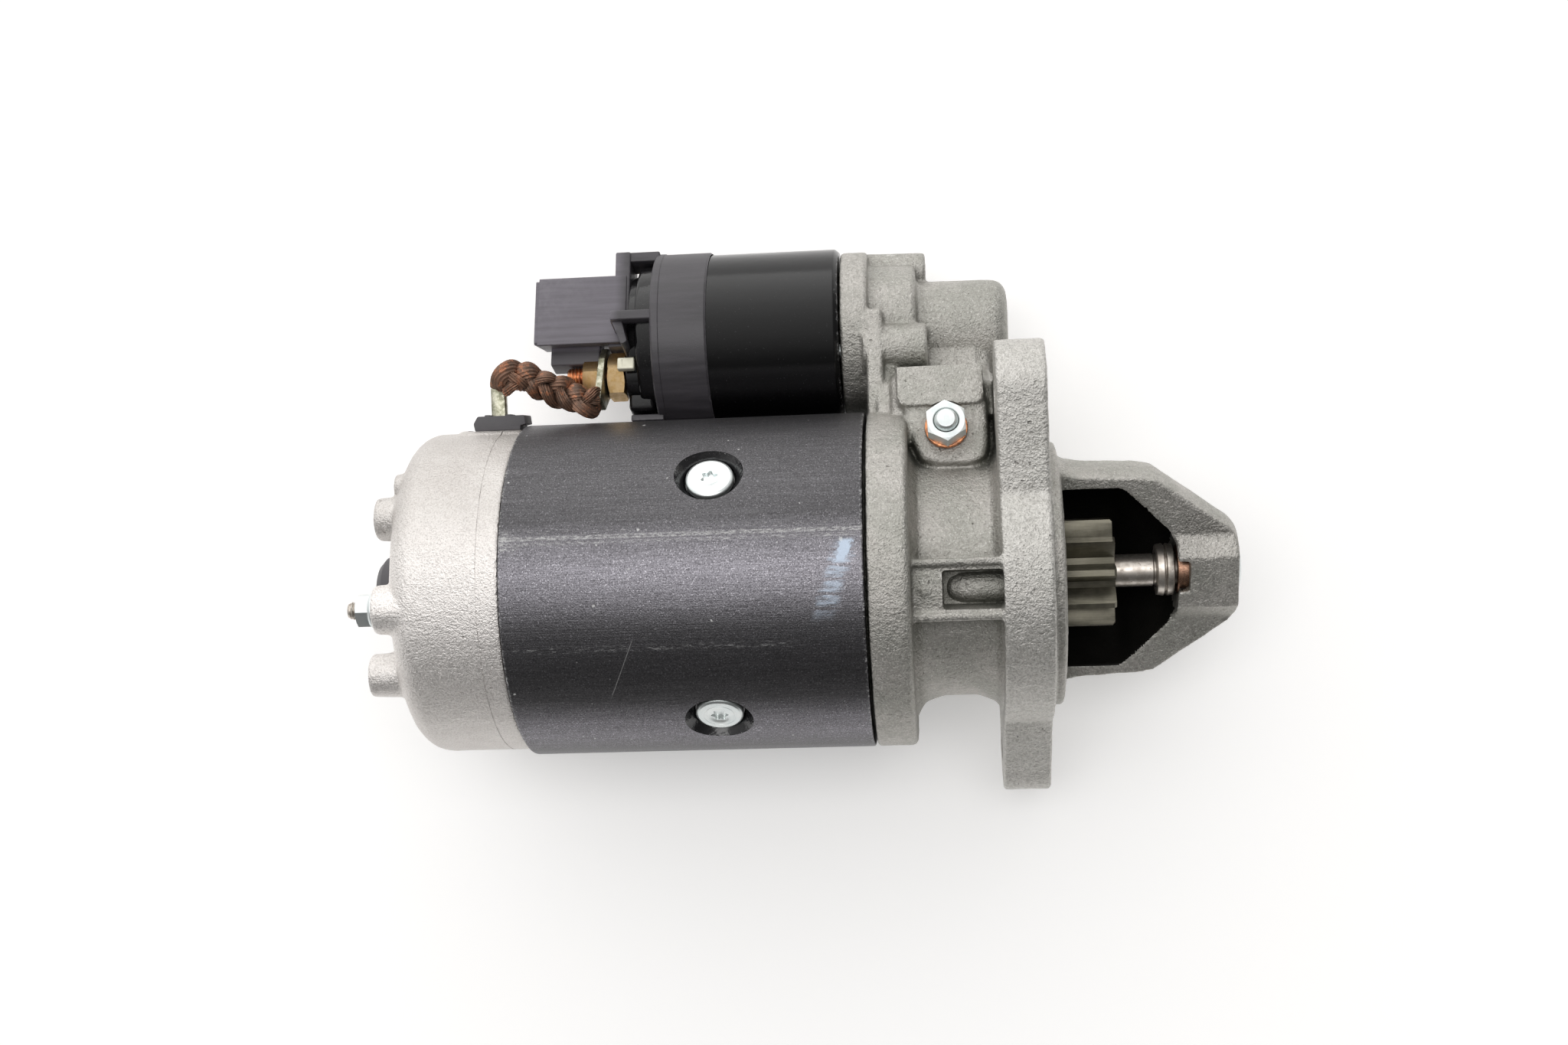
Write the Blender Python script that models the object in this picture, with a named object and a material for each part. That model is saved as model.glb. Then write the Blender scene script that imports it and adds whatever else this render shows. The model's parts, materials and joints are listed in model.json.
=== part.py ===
"""Reduction-free 12 V starter motor with a solenoid-shifted pinion.

Working frame of every mesh: +X runs along the armature shaft towards the
pinion, +Y points from the shaft to the solenoid, +Z completes it. Shapes are
written in millimetres and stored in metres. The empty "starter_motor" then
rolls the whole machine about its shaft until the pole housing and the solenoid
both touch one horizontal plane, the way it lies on a bench. The origin is on
the shaft axis at the end face of the nose cap, 64.1 mm ahead of the mounting
flange's drive-side face.
"""

import math

import bmesh
import bpy
from mathutils import Matrix, Vector

MILLIMETRE = 0.001

# ================================================================ driving sizes
# Millimetres; angles are in degrees about the shaft, from +Y towards +Z.
DATUM_X = 64.1           # end of the nose cap, where the machine's origin lies

YOKE_R = 57.0            # pole housing, outside
YOKE_BORE_R = 51.0
YOKE_X = (-176.3, -59.8)
YOKE_CHAMFER = 0.6
COVER_R = 55.1           # commutator end cover
COVER_END_X = -214.3
COVER_CORNER = 10.0
TERMINAL_ANGLE = 20.0    # of the field terminal and its grommet

FLANGE_X = (-16.4, 0.0)  # mounting flange, back and drive-side face
FLANGE_R = 50.0
EAR_PITCH_R = 66.5       # half the distance between the two mounting holes
EAR_TIP_R = 17.0
EAR_HOLE_R = 6.6
EAR_ANGLE = 43.0         # of the line through both mounting holes
PILOT_R = 44.5
PILOT_X = 3.65
RING_X = (-58.8, -45.4)  # housing ring that meets the pole housing
RING_R = YOKE_R
NECK_R = 40.0
NOSE_TIP_X = 62.7
WINDOW_HEIGHT = 6.0      # of the nose window's cut plane over the shaft

SOLENOID_Y = 90.5        # distance from shaft axis to solenoid axis
SOLENOID_CENTRE = (SOLENOID_Y, 0.0)
CAN_R = 31.15
CAN_X = (-127.5, -68.1)
CLAMP_R = 32.3
CLAMP_X = (-133.1, -113.5)
SCREW_PITCH_R = 22.9     # solenoid screws, about the solenoid axis
SCREW_ANGLES = [6.0 + 120.0 * i for i in range(3)]
SCREW_HOLE_R = 2.9
STUD_OFFSET = (15.9, 9.2)  # terminal studs from the solenoid axis, in Y and Z
STUD_R = 4.0
STUD_HOLE_R = 4.4
MOTOR_STUD = (SOLENOID_Y - STUD_OFFSET[0], STUD_OFFSET[1])
BATTERY_STUD = (SOLENOID_Y + STUD_OFFSET[0], -STUD_OFFSET[1])

POLE_X = -109.2          # station of the pole screws
POLE_ANGLES = [67.5 + 90.0 * i for i in range(4)]
BOLT_ANGLES = (112.5, 292.5)
BOLT_PITCH_R = 46.3
BOLT_R = 2.9

PIVOT = (-32.4, 40.5)    # fork pivot, X and Y
PIVOT_R = 4.0
PIVOT_HOLE_R = 4.4
PIVOT_HEX = 13.0         # across flats
FORK_REST_DEG = 8.594    # lean of the fork at rest; it swings twice this
FORK_TOP = SOLENOID_Y - PIVOT[1]  # pivot to plunger eye

ARMATURE_SLOTS = 12
CORE_R = 39.3
SLOT_FLOOR_R = 30.9
SLOT_HALF_WIDTH = 2.0
PINION_TEETH = 10
PINION_TIP_R = 18.75
PINION_ROOT_R = 12.7
PINION_X = (-4.5, 21.9)

REST_TILT = math.asin((YOKE_R - CLAMP_R) / SOLENOID_Y)

# ================================================================ clean start
for thing in list(bpy.data.objects):
    bpy.data.objects.remove(thing)

scene = bpy.context.scene
cutters = bpy.data.collections.new("cutters")
scene.collection.children.link(cutters)


# ================================================================ materials
def material(name, colour, roughness, metallic, coat=0.0):
    surface = bpy.data.materials.new(name)
    surface.use_nodes = True
    inputs = surface.node_tree.nodes["Principled BSDF"].inputs
    inputs["Base Color"].default_value = (*colour, 1.0)
    inputs["Roughness"].default_value = roughness
    inputs["Metallic"].default_value = metallic
    inputs["Coat Weight"].default_value = coat
    return surface


CAST = material("cast_aluminium", (0.47, 0.45, 0.43), roughness=0.55, metallic=0.85)
BLAST = material("blasted_aluminium", (0.60, 0.56, 0.53), roughness=0.6, metallic=0.8)
BLACK_PAINT = material(
    "black_painted_steel", (0.035, 0.033, 0.036), roughness=0.4, metallic=0.3)
GLOSS_BLACK = material(
    "gloss_black_steel", (0.008, 0.008, 0.009), roughness=0.12, metallic=0.3, coat=0.6)
PLASTIC = material("black_plastic", (0.03, 0.028, 0.032), roughness=0.5, metallic=0.0)
BAKELITE = material("black_bakelite", (0.01, 0.01, 0.011), roughness=0.15, metallic=0.0)
RUBBER = material("black_rubber", (0.04, 0.04, 0.045), roughness=0.7, metallic=0.0)
ZINC = material("zinc_plated_steel", (0.72, 0.76, 0.78), roughness=0.28, metallic=1.0)
STEEL = material("ground_steel", (0.42, 0.38, 0.34), roughness=0.3, metallic=1.0)
DARK_STEEL = material("oiled_steel", (0.20, 0.18, 0.15), roughness=0.4, metallic=1.0)
LAMINATION = material("electrical_steel", (0.30, 0.30, 0.31), roughness=0.5, metallic=1.0)
COPPER = material("copper", (0.72, 0.32, 0.16), roughness=0.35, metallic=1.0)
BRAID = material("oxidised_copper", (0.30, 0.14, 0.09), roughness=0.5, metallic=0.8)
BRASS = material("brass", (0.76, 0.55, 0.26), roughness=0.3, metallic=1.0)
BRONZE = material("sintered_bronze", (0.55, 0.33, 0.17), roughness=0.45, metallic=1.0)
CARBON = material("copper_graphite", (0.12, 0.09, 0.08), roughness=0.55, metallic=0.4)
ENAMEL = material("enamelled_copper", (0.45, 0.16, 0.07), roughness=0.35, metallic=0.7)
CREAM = material("cream_insulator", (0.75, 0.72, 0.58), roughness=0.5, metallic=0.0)
TIN = material("tinned_copper", (0.60, 0.57, 0.50), roughness=0.35, metallic=1.0)


# ================================================================ frame empties
def empty(name, x=0.0, y=0.0, parent=None):
    node = bpy.data.objects.new(name, None)
    scene.collection.objects.link(node)
    node.empty_display_size = 0.02
    node.parent = parent
    node.location = (x * MILLIMETRE, y * MILLIMETRE, 0.0)
    return node


base = empty("starter_motor", -DATUM_X)
base.rotation_euler = (-REST_TILT, 0.0, 0.0)
shaft_axis = empty("shaft_axis", parent=base)
plunger_axis = empty("plunger_axis", y=SOLENOID_Y, parent=base)
fork_axis = empty("fork_pivot_axis", *PIVOT, parent=base)
fork_axis.rotation_euler = (0.0, 0.0, -math.radians(FORK_REST_DEG))
brush_axes = [empty(f"brush_{i + 1}_axis", parent=base) for i in range(4)]


# ================================================================ flat outlines
def polar(radius, degrees):
    angle = math.radians(degrees)
    return radius * math.cos(angle), radius * math.sin(angle)


def arc(radius, start, end, steps):
    """Points of an arc about the origin, angles in degrees."""
    return [polar(radius, start + (end - start) * i / steps) for i in range(steps + 1)]


def round_corner(x, height, radius, start, end, steps):
    """Corner arc of a turned profile about (x, height), as (x, r) points."""
    return [(x + along, height + out) for along, out in arc(radius, start, end, steps)]


def hexagon(across, centre, phase=0.0):
    radius = across / math.sqrt(3.0)
    corners = [polar(radius, 60 * i + phase) for i in range(6)]
    return [(centre[0] + first, centre[1] + second) for first, second in corners]


def mirrored(half):
    """A half outline closed by its mirror image in the second coordinate."""
    return half + [(first, -second) for first, second in reversed(half)]


def hull_outline(centre, radius, tip, tip_radius, steps):
    """Outline of two circles and their outer tangents."""
    line = Vector((tip[0] - centre[0], tip[1] - centre[1]))
    heading = math.atan2(line.y, line.x)
    lean = math.acos((radius - tip_radius) / line.length)
    outline = []
    for (x, y), size, start, sweep, count in (
        (tip, tip_radius, heading - lean, 2 * lean, steps),
        (centre, radius, heading + lean, 2 * math.pi - 2 * lean, steps * 2),
    ):
        for i in range(count + 1):
            angle = start + sweep * i / count
            outline.append((x + size * math.cos(angle), y + size * math.sin(angle)))
    return outline


# ================================================================ solid shapes
def finish_mesh(shape):
    """Millimetre bmesh to a metre mesh with its faces pointing out."""
    bmesh.ops.remove_doubles(shape, verts=shape.verts[:], dist=1e-4)
    bmesh.ops.recalc_face_normals(shape, faces=shape.faces[:])
    if shape.calc_volume(signed=True) < 0:
        bmesh.ops.reverse_faces(shape, faces=shape.faces[:])
    bmesh.ops.scale(shape, vec=(MILLIMETRE,) * 3, verts=shape.verts[:])
    mesh = bpy.data.meshes.new("shape")
    shape.to_mesh(mesh)
    shape.free()
    return mesh


def spun(profile, segments, centre=(0.0, 0.0)):
    """Solid of revolution about a line parallel to X. The profile is (x, r);
    it is closed on itself unless it starts and ends on the axis."""
    shape = bmesh.new()
    verts = [shape.verts.new((x, radius, 0.0)) for x, radius in profile]
    edges = [shape.edges.new(pair) for pair in zip(verts, verts[1:])]
    if not (profile[0][1] == 0.0 and profile[-1][1] == 0.0):
        edges.append(shape.edges.new((verts[-1], verts[0])))
    bmesh.ops.spin(
        shape, geom=verts + edges, cent=(0, 0, 0), axis=(1, 0, 0),
        angle=2 * math.pi, steps=segments, use_merge=True,
    )
    bmesh.ops.translate(shape, vec=(0, *centre), verts=shape.verts[:])
    return finish_mesh(shape)


def pushed(outline, low, high, axis="X"):
    """Prism: a flat outline pushed along one axis.
    Outline points are (y, z) for X, (x, z) for Y and (x, y) for Z."""
    index = "XYZ".index(axis)
    step = [0, 0, 0]
    step[index] = high - low
    shape = bmesh.new()
    corners = [shape.verts.new((*point[:index], low, *point[index:])) for point in outline]
    grown = bmesh.ops.extrude_face_region(shape, geom=[shape.faces.new(corners)])
    moved = [item for item in grown["geom"] if isinstance(item, bmesh.types.BMVert)]
    bmesh.ops.translate(shape, vec=step, verts=moved)
    return finish_mesh(shape)


def rod(start, end, radius, segments=16, radius_end=None):
    """Cylinder or cone between two points."""
    start, end = Vector(start), Vector(end)
    turn = (end - start).to_track_quat("Z", "Y").to_matrix().to_4x4()
    shape = bmesh.new()
    bmesh.ops.create_cone(
        shape, cap_ends=True, segments=segments, radius1=radius,
        radius2=radius if radius_end is None else radius_end,
        depth=(end - start).length, matrix=Matrix.Translation((start + end) / 2) @ turn,
    )
    return finish_mesh(shape)


def pin(low, high, radius, segments, centre=(0.0, 0.0), axis="X"):
    """Cylinder along X about centre (y, z), or along Z about centre (x, y)."""
    if axis == "X":
        return rod((low, *centre), (high, *centre), radius, segments)
    return rod((*centre, low), (*centre, high), radius, segments)


def block(x, y, z):
    spans = (x, y, z)
    shape = bmesh.new()
    bmesh.ops.create_cube(shape, size=1.0)
    bmesh.ops.scale(shape, vec=[high - low for low, high in spans], verts=shape.verts[:])
    bmesh.ops.translate(
        shape, vec=[(low + high) / 2 for low, high in spans], verts=shape.verts[:])
    return finish_mesh(shape)


def sector(inner, outer, start, end, low, high, steps):
    """Piece of a tube about the shaft, from X low to high."""
    return pushed(arc(outer, start, end, steps) + arc(inner, end, start, steps), low, high)


def turned(mesh, degrees):
    """The mesh turned about the shaft axis."""
    mesh.transform(Matrix.Rotation(math.radians(degrees), 4, "X"))
    return mesh


def smooth_path(points, per_span):
    """Catmull-Rom points through the given ones."""
    knots = [Vector(point) for point in points]
    knots = [2 * knots[0] - knots[1]] + knots + [2 * knots[-1] - knots[-2]]
    path = []
    for i in range(1, len(knots) - 2):
        before, here, ahead, beyond = knots[i - 1:i + 3]
        for k in range(per_span):
            t = k / per_span
            path.append(0.5 * (
                (2 * here) + (ahead - before) * t
                + (2 * before - 5 * here + 4 * ahead - beyond) * t * t
                + (3 * here - before - 3 * ahead + beyond) * t ** 3))
    return path + [knots[-2]]


def swept(path, radius, segments):
    """Round tube along a path, with flat ends."""
    shape = bmesh.new()
    rings = []
    normal = Vector((0, 0, 1))
    for i, point in enumerate(path):
        ahead = (path[min(i + 1, len(path) - 1)] - path[max(i - 1, 0)]).normalized()
        normal = (normal - ahead * normal.dot(ahead)).normalized()
        other = ahead.cross(normal)
        turns = [2 * math.pi * k / segments for k in range(segments)]
        rings.append([
            shape.verts.new(point + radius * (math.cos(turn) * normal + math.sin(turn) * other))
            for turn in turns])
    for near, far in zip(rings, rings[1:]):
        for k in range(segments):
            following = (k + 1) % segments
            shape.faces.new((near[k], near[following], far[following], far[k]))
    shape.faces.new(rings[0][::-1])
    shape.faces.new(rings[-1])
    return finish_mesh(shape)


# ================================================================ parts and booleans
def seat(mesh, frame):
    """Re-seat a mesh written in the shaft frame on the empty of its own axis."""
    if frame is not base:
        mesh.transform(Matrix.Translation(-frame.location))


def part(name, mesh, surface, frame=base, smooth=True):
    mesh.name = name
    seat(mesh, frame)
    piece = bpy.data.objects.new(name, mesh)
    scene.collection.objects.link(piece)
    piece.parent = frame
    mesh.materials.append(surface)
    if smooth:
        mesh.shade_smooth()
        mesh.set_sharp_from_angle(angle=math.radians(35))
    return piece


# the housing joins solids that share planes, which the exact solver leaves open
SOLVERS = {"drive_housing": "MANIFOLD"}


def combine(target, meshes, operation):
    for mesh in meshes:
        name = f"{target.name}_{operation.lower()}_{len(target.modifiers)}"
        helper = bpy.data.objects.new(name, mesh)
        cutters.objects.link(helper)
        helper.parent = target.parent
        seat(mesh, target.parent)
        helper.hide_render = True
        helper.display_type = "WIRE"
        step = target.modifiers.new(helper.name, "BOOLEAN")
        step.operation = operation
        step.solver = SOLVERS.get(target.name, "EXACT")
        step.object = helper


def cut(target, *meshes):
    combine(target, meshes, "DIFFERENCE")


def join(target, *meshes):
    combine(target, meshes, "UNION")


BOLT_CENTRES = [polar(BOLT_PITCH_R, angle) for angle in BOLT_ANGLES]
SCREW_CENTRES = [
    (SOLENOID_Y + y, z) for y, z in (polar(SCREW_PITCH_R, angle) for angle in SCREW_ANGLES)]


def cut_bolt_holes(target, low, high, clearance=0.4, segments=12):
    for centre in BOLT_CENTRES:
        cut(target, pin(low, high, BOLT_R + clearance, segments, centre))


def hex_nut(name, across, centre, phase, span, hole_r, hole_span, surface, axis="X"):
    nut = part(name, pushed(hexagon(across, centre, phase), *span, axis), surface, smooth=False)
    cut(nut, pin(*hole_span, hole_r, 12, centre, axis))


# ================================================================ pole housing
pole_housing = part(
    "pole_housing",
    spun([(YOKE_X[0], YOKE_BORE_R), (YOKE_X[0], YOKE_R - YOKE_CHAMFER),
          (YOKE_X[0] + YOKE_CHAMFER, YOKE_R), (YOKE_X[1] - YOKE_CHAMFER, YOKE_R),
          (YOKE_X[1], YOKE_R - YOKE_CHAMFER), (YOKE_X[1], YOKE_BORE_R)], 40),
    BLACK_PAINT,
)
# countersunk screw hole over each pole
for angle in POLE_ANGLES:
    above, sink_floor, inside = (
        (POLE_X, *polar(YOKE_R + rise, angle)) for rise in (1.0, -5.2, -9.0))
    cut(pole_housing, rod(sink_floor, above, 5.1, 16, radius_end=11.3),
        rod(inside, above, 4.7, 10))

# ---------------------------------------------------------------- pole shoes
SHOE_HALF_LENGTH = 34.0
SHOE_HALF_ANGLE = 21.0
HORN_HALF_ANGLE = 32.5   # thin horns at the bore reach further than the body
SHOE_SECTION = (
    arc(50.55, -SHOE_HALF_ANGLE, SHOE_HALF_ANGLE, 8)
    + [polar(43.4, SHOE_HALF_ANGLE), polar(43.0, HORN_HALF_ANGLE)]
    + arc(40.0, HORN_HALF_ANGLE, -HORN_HALF_ANGLE, 10)
    + [polar(43.0, -HORN_HALF_ANGLE), polar(43.4, -SHOE_HALF_ANGLE)]
)
for i, angle in enumerate(POLE_ANGLES):
    body = pushed(SHOE_SECTION, POLE_X - SHOE_HALF_LENGTH, POLE_X + SHOE_HALF_LENGTH)
    shoe = part(f"pole_shoe_{i + 1}", turned(body, angle), LAMINATION)
    cut(shoe, rod((POLE_X, *polar(36, angle)), (POLE_X, *polar(53, angle)), 4.5, 12))

# ---------------------------------------------------------------- pole screws
# distance from the shaft axis, screw radius
POLE_SCREW_PROFILE = [
    (44.6, 0.0), (44.6, 3.4), (45.2, 4.0), (51.6, 4.0), (54.4, 7.2), (55.0, 7.2), (55.0, 0.0)]
POLE_SCREW_SOCKET = [(POLE_X + x, z) for x, z in (polar(3.1, 60 * k) for k in range(6))]
for i, angle in enumerate(POLE_ANGLES):
    body = spun(POLE_SCREW_PROFILE, 12)
    body.transform(Matrix.Rotation(math.radians(90), 4, "Z"))
    body.transform(Matrix.Translation((POLE_X * MILLIMETRE, 0, 0)))
    screw = part(f"pole_screw_{i + 1}", turned(body, angle), ZINC)
    cut(screw, turned(pushed(POLE_SCREW_SOCKET, 52.3, 56.5, "Y"), angle))

# ---------------------------------------------------------------- field winding
# a thin ring carries one window-shaped coil around each pole
COIL_R = (43.75, 50.2)
winding = part(
    "field_winding",
    spun([(-151.6, 40.6), (-151.6, 43.0), (-149.2, 43.0), (-149.2, 40.6)], 32), ENAMEL,
)
for angle in POLE_ANGLES:
    join(winding, sector(*COIL_R, angle - 40, angle + 40, -152.0, -67.0, 6))
    cut(winding, sector(COIL_R[0] - 2, COIL_R[1] + 2, angle - 21.7, angle + 21.7,
                        -143.6, -74.8, 4))
    join(winding, sector(41.6, 45.0, angle - 9, angle + 9, -151.3, -149.5, 3))

# ================================================================ end cover
COVER_PROFILE = (  # x, r
    [(-222.3, 0.0), (-222.3, 14.0), (-221.3, 15.0), (COVER_END_X - 0.1, 15.6),
     (COVER_END_X, 17.0)]
    + round_corner(COVER_END_X + COVER_CORNER, COVER_R - COVER_CORNER, COVER_CORNER, 180, 90, 3)
    + [(-176.7, COVER_R), (-176.7, 50.6), (-171.5, 50.6), (-171.5, 0.0)]
)
COVER_HOLLOW = [  # x, r
    (-210.2, 0.0), (-210.2, 43.0), (-205.5, 50.3), (-180.0, 50.3), (-180.0, 47.3),
    (-170.0, 47.3), (-170.0, 0.0)]
COVER_BOSSES = [  # outer x, inner x, pitch radius, angle, boss radius
    *((-219.3, -207.0, BOLT_PITCH_R, angle, 8.0) for angle in BOLT_ANGLES),
    (-221.3, -208.0, 42.0, 70.0, 7.3),
    (-225.0, -208.0, 42.0, 146.0, 7.3),
    (-221.3, -208.0, 42.0, 250.0, 7.3),
    (-221.3, -208.0, 42.0, 326.0, 7.3),
    (-215.8, -207.0, 47.6, 58.0, 4.4),
]
cover = part("commutator_end_cover", spun(COVER_PROFILE, 32), BLAST)
for outer, inner, pitch, angle, radius in COVER_BOSSES:
    join(cover, pin(outer, inner, radius, 12, polar(pitch, angle)))
cut(
    cover,
    spun(COVER_HOLLOW, 24),
    pin(-224.0, -200.0, 9.0, 16),
    turned(block((-193.9, -186.7), (44.0, 60.0), (-1.9, 1.9)), TERMINAL_ANGLE),
)
cut_bolt_holes(cover, -229.0, -165.0)

part("rear_bushing", spun([(-221.8, 6.3), (-221.8, 8.6), (-208.6, 8.6), (-208.6, 6.3)], 16),
     BRONZE)
part("rear_bearing_cap",
     spun([(-231.9, 0.0), (-231.6, 6.5), (-230.4, 10.6), (-228.2, 12.9), (-226.0, 13.4),
           (-222.7, 13.4), (-222.7, 11.6), (-227.4, 11.6), (-229.6, 8.0), (-230.2, 0.0)], 20),
     RUBBER)

# ---------------------------------------------------------------- through bolts
BOLT_PROFILE = [  # x, r
    (-228.2, 0.0), (-228.2, 2.3), (-227.6, BOLT_R), (-49.4, BOLT_R), (-48.8, 2.3), (-48.8, 0.0)]
for i, (angle, centre) in enumerate(zip(BOLT_ANGLES, BOLT_CENTRES)):
    part(f"through_bolt_{i + 1}", spun(BOLT_PROFILE, 12, centre), ZINC)
    hex_nut(f"through_bolt_nut_{i + 1}", 10.0, centre, angle, (-224.9, -219.65),
            BOLT_R + 0.35, (-226, -218), ZINC)

# ---------------------------------------------------------------- field terminal
grommet = part(
    "lead_grommet",
    turned(block((-198.3, -178.6), (55.5, 60.9), (-5.2, 5.2)), TERMINAL_ANGLE),
    RUBBER, smooth=False)
cut(grommet, turned(block((-193.75, -186.85), (50.0, 64.0), (-1.75, 1.75)), TERMINAL_ANGLE))
part("field_terminal_post",
     turned(block((-193.3, -187.3), (48.6, 72.6), (-1.3, 1.3)), TERMINAL_ANGLE),
     TIN, smooth=False)

# ================================================================ brush gear
# a plate with two guide walls for each brush
BRUSH_HALF_WIDTH = 6.0
GUIDE_WALL = (6.45, 8.1)  # near and far face from the brush's centre plane
brush_plate = part(
    "brush_plate", spun([(-190.0, 9.5), (-190.0, 46.8), (-188.0, 46.8), (-188.0, 9.5)], 32),
    BRASS)
for angle in POLE_ANGLES:
    for side in (-1, 1):
        wall = sorted(side * face for face in GUIDE_WALL)
        join(brush_plate, turned(block((-188.6, -167.5), (24.6, 40.0), wall), angle))
cut_bolt_holes(brush_plate, -195, -185, clearance=0.9)
for i, angle in enumerate(POLE_ANGLES):
    body = block((-183.5, -168.0), (21.4, 36.5), (-BRUSH_HALF_WIDTH, BRUSH_HALF_WIDTH))
    part(f"brush_{i + 1}", turned(body, angle), CARBON, brush_axes[i], smooth=False)

# ================================================================ drive housing
HOUSING_PROFILE = [  # x, r
    (-63.0, 0.0), (-63.0, 50.6), (RING_X[0], 50.6), (RING_X[0], RING_R - 0.8),
    (RING_X[0] + 0.8, RING_R), (RING_X[1] - 1.6, RING_R), (RING_X[1], RING_R - 1.6),
    (RING_X[1], 46.5), (-43.2, 42.2), (-39.5, NECK_R), (-22.5, NECK_R), (-18.0, 42.2),
    (-15.0, 46.0), (-10.0, PILOT_R), (PILOT_X - 0.7, PILOT_R), (PILOT_X, PILOT_R - 0.7),
    (PILOT_X, 40.2), (6.5, 38.8), (12.0, 37.6), (28.0, 36.9), (36.0, 34.2), (57.6, 16.4),
    (61.7, 16.4), (NOSE_TIP_X, 15.4), (NOSE_TIP_X, 0.0),
]
housing = part("drive_housing", spun(HOUSING_PROFILE, 32), CAST)

# mounting flange: disc and two ears
EAR_CENTRES = [polar(EAR_PITCH_R, EAR_ANGLE), polar(EAR_PITCH_R, EAR_ANGLE + 180)]
join(housing, spun([(FLANGE_X[0], 0.0), (FLANGE_X[0], FLANGE_R), (FLANGE_X[1], FLANGE_R),
                    (FLANGE_X[1], 0.0)], 32))
for centre in EAR_CENTRES:
    join(housing, pushed(hull_outline((0, 0), NECK_R, centre, EAR_TIP_R, 7), *FLANGE_X))

# thickened neck wall, a raised block beside it and two lengthwise ribs
NECK_SECTORS = [  # inner r, outer r, start angle, end angle, x low, x high, steps
    (34.0, 44.0, 38.0, 104.0, -46.2, -15.4, 8),
    (35.0, 50.0, 99.4, 122.6, -46.4, -15.2, 3),
    (35.0, 46.5, 196.0, 202.0, -46.4, -15.2, 2),
    (35.0, 46.5, 262.0, 268.0, -46.4, -15.2, 2),
]
for row in NECK_SECTORS:
    join(housing, sector(*row))

# fork pivot pad, and the panel that rises from it to the solenoid
PIVOT_PAD = [  # x, y
    (-46.5, 49.0), (-43.6, 36.0), (-41.2, 30.5), (-38.5, 28.9), (-24.5, 28.4),
    (-20.5, 30.0), (-18.7, 34.0), (-18.9, 52.0), (-46.8, 52.0)]
PANEL_HALF = [(42.0, -33.4), (61.0, -31.6), (67.0, -27.0), (71.5, -13.4), (82.0, -13.4)]  # y, z
join(housing, pushed(PIVOT_PAD, -35.0, 35.0, "Z"), pushed(mirrored(PANEL_HALF), -50.8, -18.6))

# solenoid seat: disc, collar, dome over the plunger, two plates down to the
# neck and three screw bosses
SEAT_DISC = [  # x, r
    (-67.6, 0.0), (-67.6, 28.9), (-66.9, 29.6), (-58.3, 29.6), (-57.3, 28.6), (-57.3, 0.0)]
SEAT_COLLAR = [(-59.5, 0.0), (-59.5, 25.4), (-40.4, 25.4), (-38.3, 23.0), (-38.3, 0.0)]
DOME = (
    [(-40.0, 0.0), (-40.0, 18.3)] + round_corner(-15.6, 12.2, 6.1, 90, 0, 2) + [(-9.5, 0.0)])
WIDE_PLATE_HALF = [(46.0, -25.0), (62.0, -27.5), (84.0, -29.0)]  # y, z
TAPERED_PLATE_HALF = [(40.0, -30.0), (60.0, -27.0), (76.0, -22.0)]
join(
    housing,
    spun(SEAT_DISC, 24, SOLENOID_CENTRE),
    spun(SEAT_COLLAR, 24, SOLENOID_CENTRE),
    spun(DOME, 24, SOLENOID_CENTRE),
    pushed(mirrored(WIDE_PLATE_HALF), -58.4, -54.4),
    pushed(mirrored(TAPERED_PLATE_HALF), -55.5, -48.0),
)
for centre in SCREW_CENTRES:
    join(housing, pin(-59.0, -38.0, 7.0, 12, centre))

# hollows: armature end to nose, plunger chamber, fork slot, pivot hole
SHAFT_HOLLOW = [  # x, r
    (-64.0, 0.0), (-64.0, 47.0), (-56.0, 47.0), (-56.0, 36.0), (-18.0, 36.0), (-15.5, 33.4),
    (24.8, 33.4), (40.0, 18.0), (42.6, 12.8), (43.6, 8.6), (64.0, 8.6), (64.0, 0.0)]
PLUNGER_CHAMBER = [
    (-69.0, 0.0), (-69.0, 17.4), (-42.0, 17.4), (-40.0, 14.6), (-13.4, 14.6), (-13.4, 0.0)]
cut(
    housing,
    spun(SHAFT_HOLLOW, 32),
    spun(PLUNGER_CHAMBER, 16, SOLENOID_CENTRE),
    block((-44.6, -20.6), (28.0, 88.0), (-8.4, 8.4)),
    pin(-40, 40, PIVOT_HOLE_R, 12, PIVOT, "Z"),
)
for centre in EAR_CENTRES:
    cut(housing, pin(-20, 4, EAR_HOLE_R, 16, centre))
cut_bolt_holes(housing, -66, -48.2)
for centre in SCREW_CENTRES:
    cut(housing, pin(-70, -30, SCREW_HOLE_R, 10, centre), pin(-42.8, -37.4, 4.55, 14, centre))

# deep pocket in the raised block
cut(housing, sector(42.6, 53.0, 103.9, 119.2, -35.6, -17.3, 3))

# nose window: one flat cut across both arms, a faceted ridge left at the tip
WINDOW = [(-60, WINDOW_HEIGHT), (60, WINDOW_HEIGHT), (60, 60), (-60, 60)]
RIDGE = [(-15.0, WINDOW_HEIGHT), (-9.1, 11.0), (9.1, 11.0), (15.0, WINDOW_HEIGHT)]
TIP_CUT = WINDOW[:1] + RIDGE + WINDOW[1:]
cut(housing, turned(pushed(WINDOW, 4.5, 42.5), EAR_ANGLE),
    turned(pushed(TIP_CUT, 42.3, 70.0), EAR_ANGLE))

# ---------------------------------------------------------------- nose fittings
part("front_bushing", spun([(44.4, 5.8), (44.4, 8.25), (60.0, 8.25), (60.0, 5.8)], 16), BRONZE)
part("nose_cap",
     spun([(60.9, 0.0), (60.9, 8.2), (62.6, 8.2), (63.6, 7.0), (DATUM_X, 6.0), (DATUM_X, 0.0)],
          16), ZINC)

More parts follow.
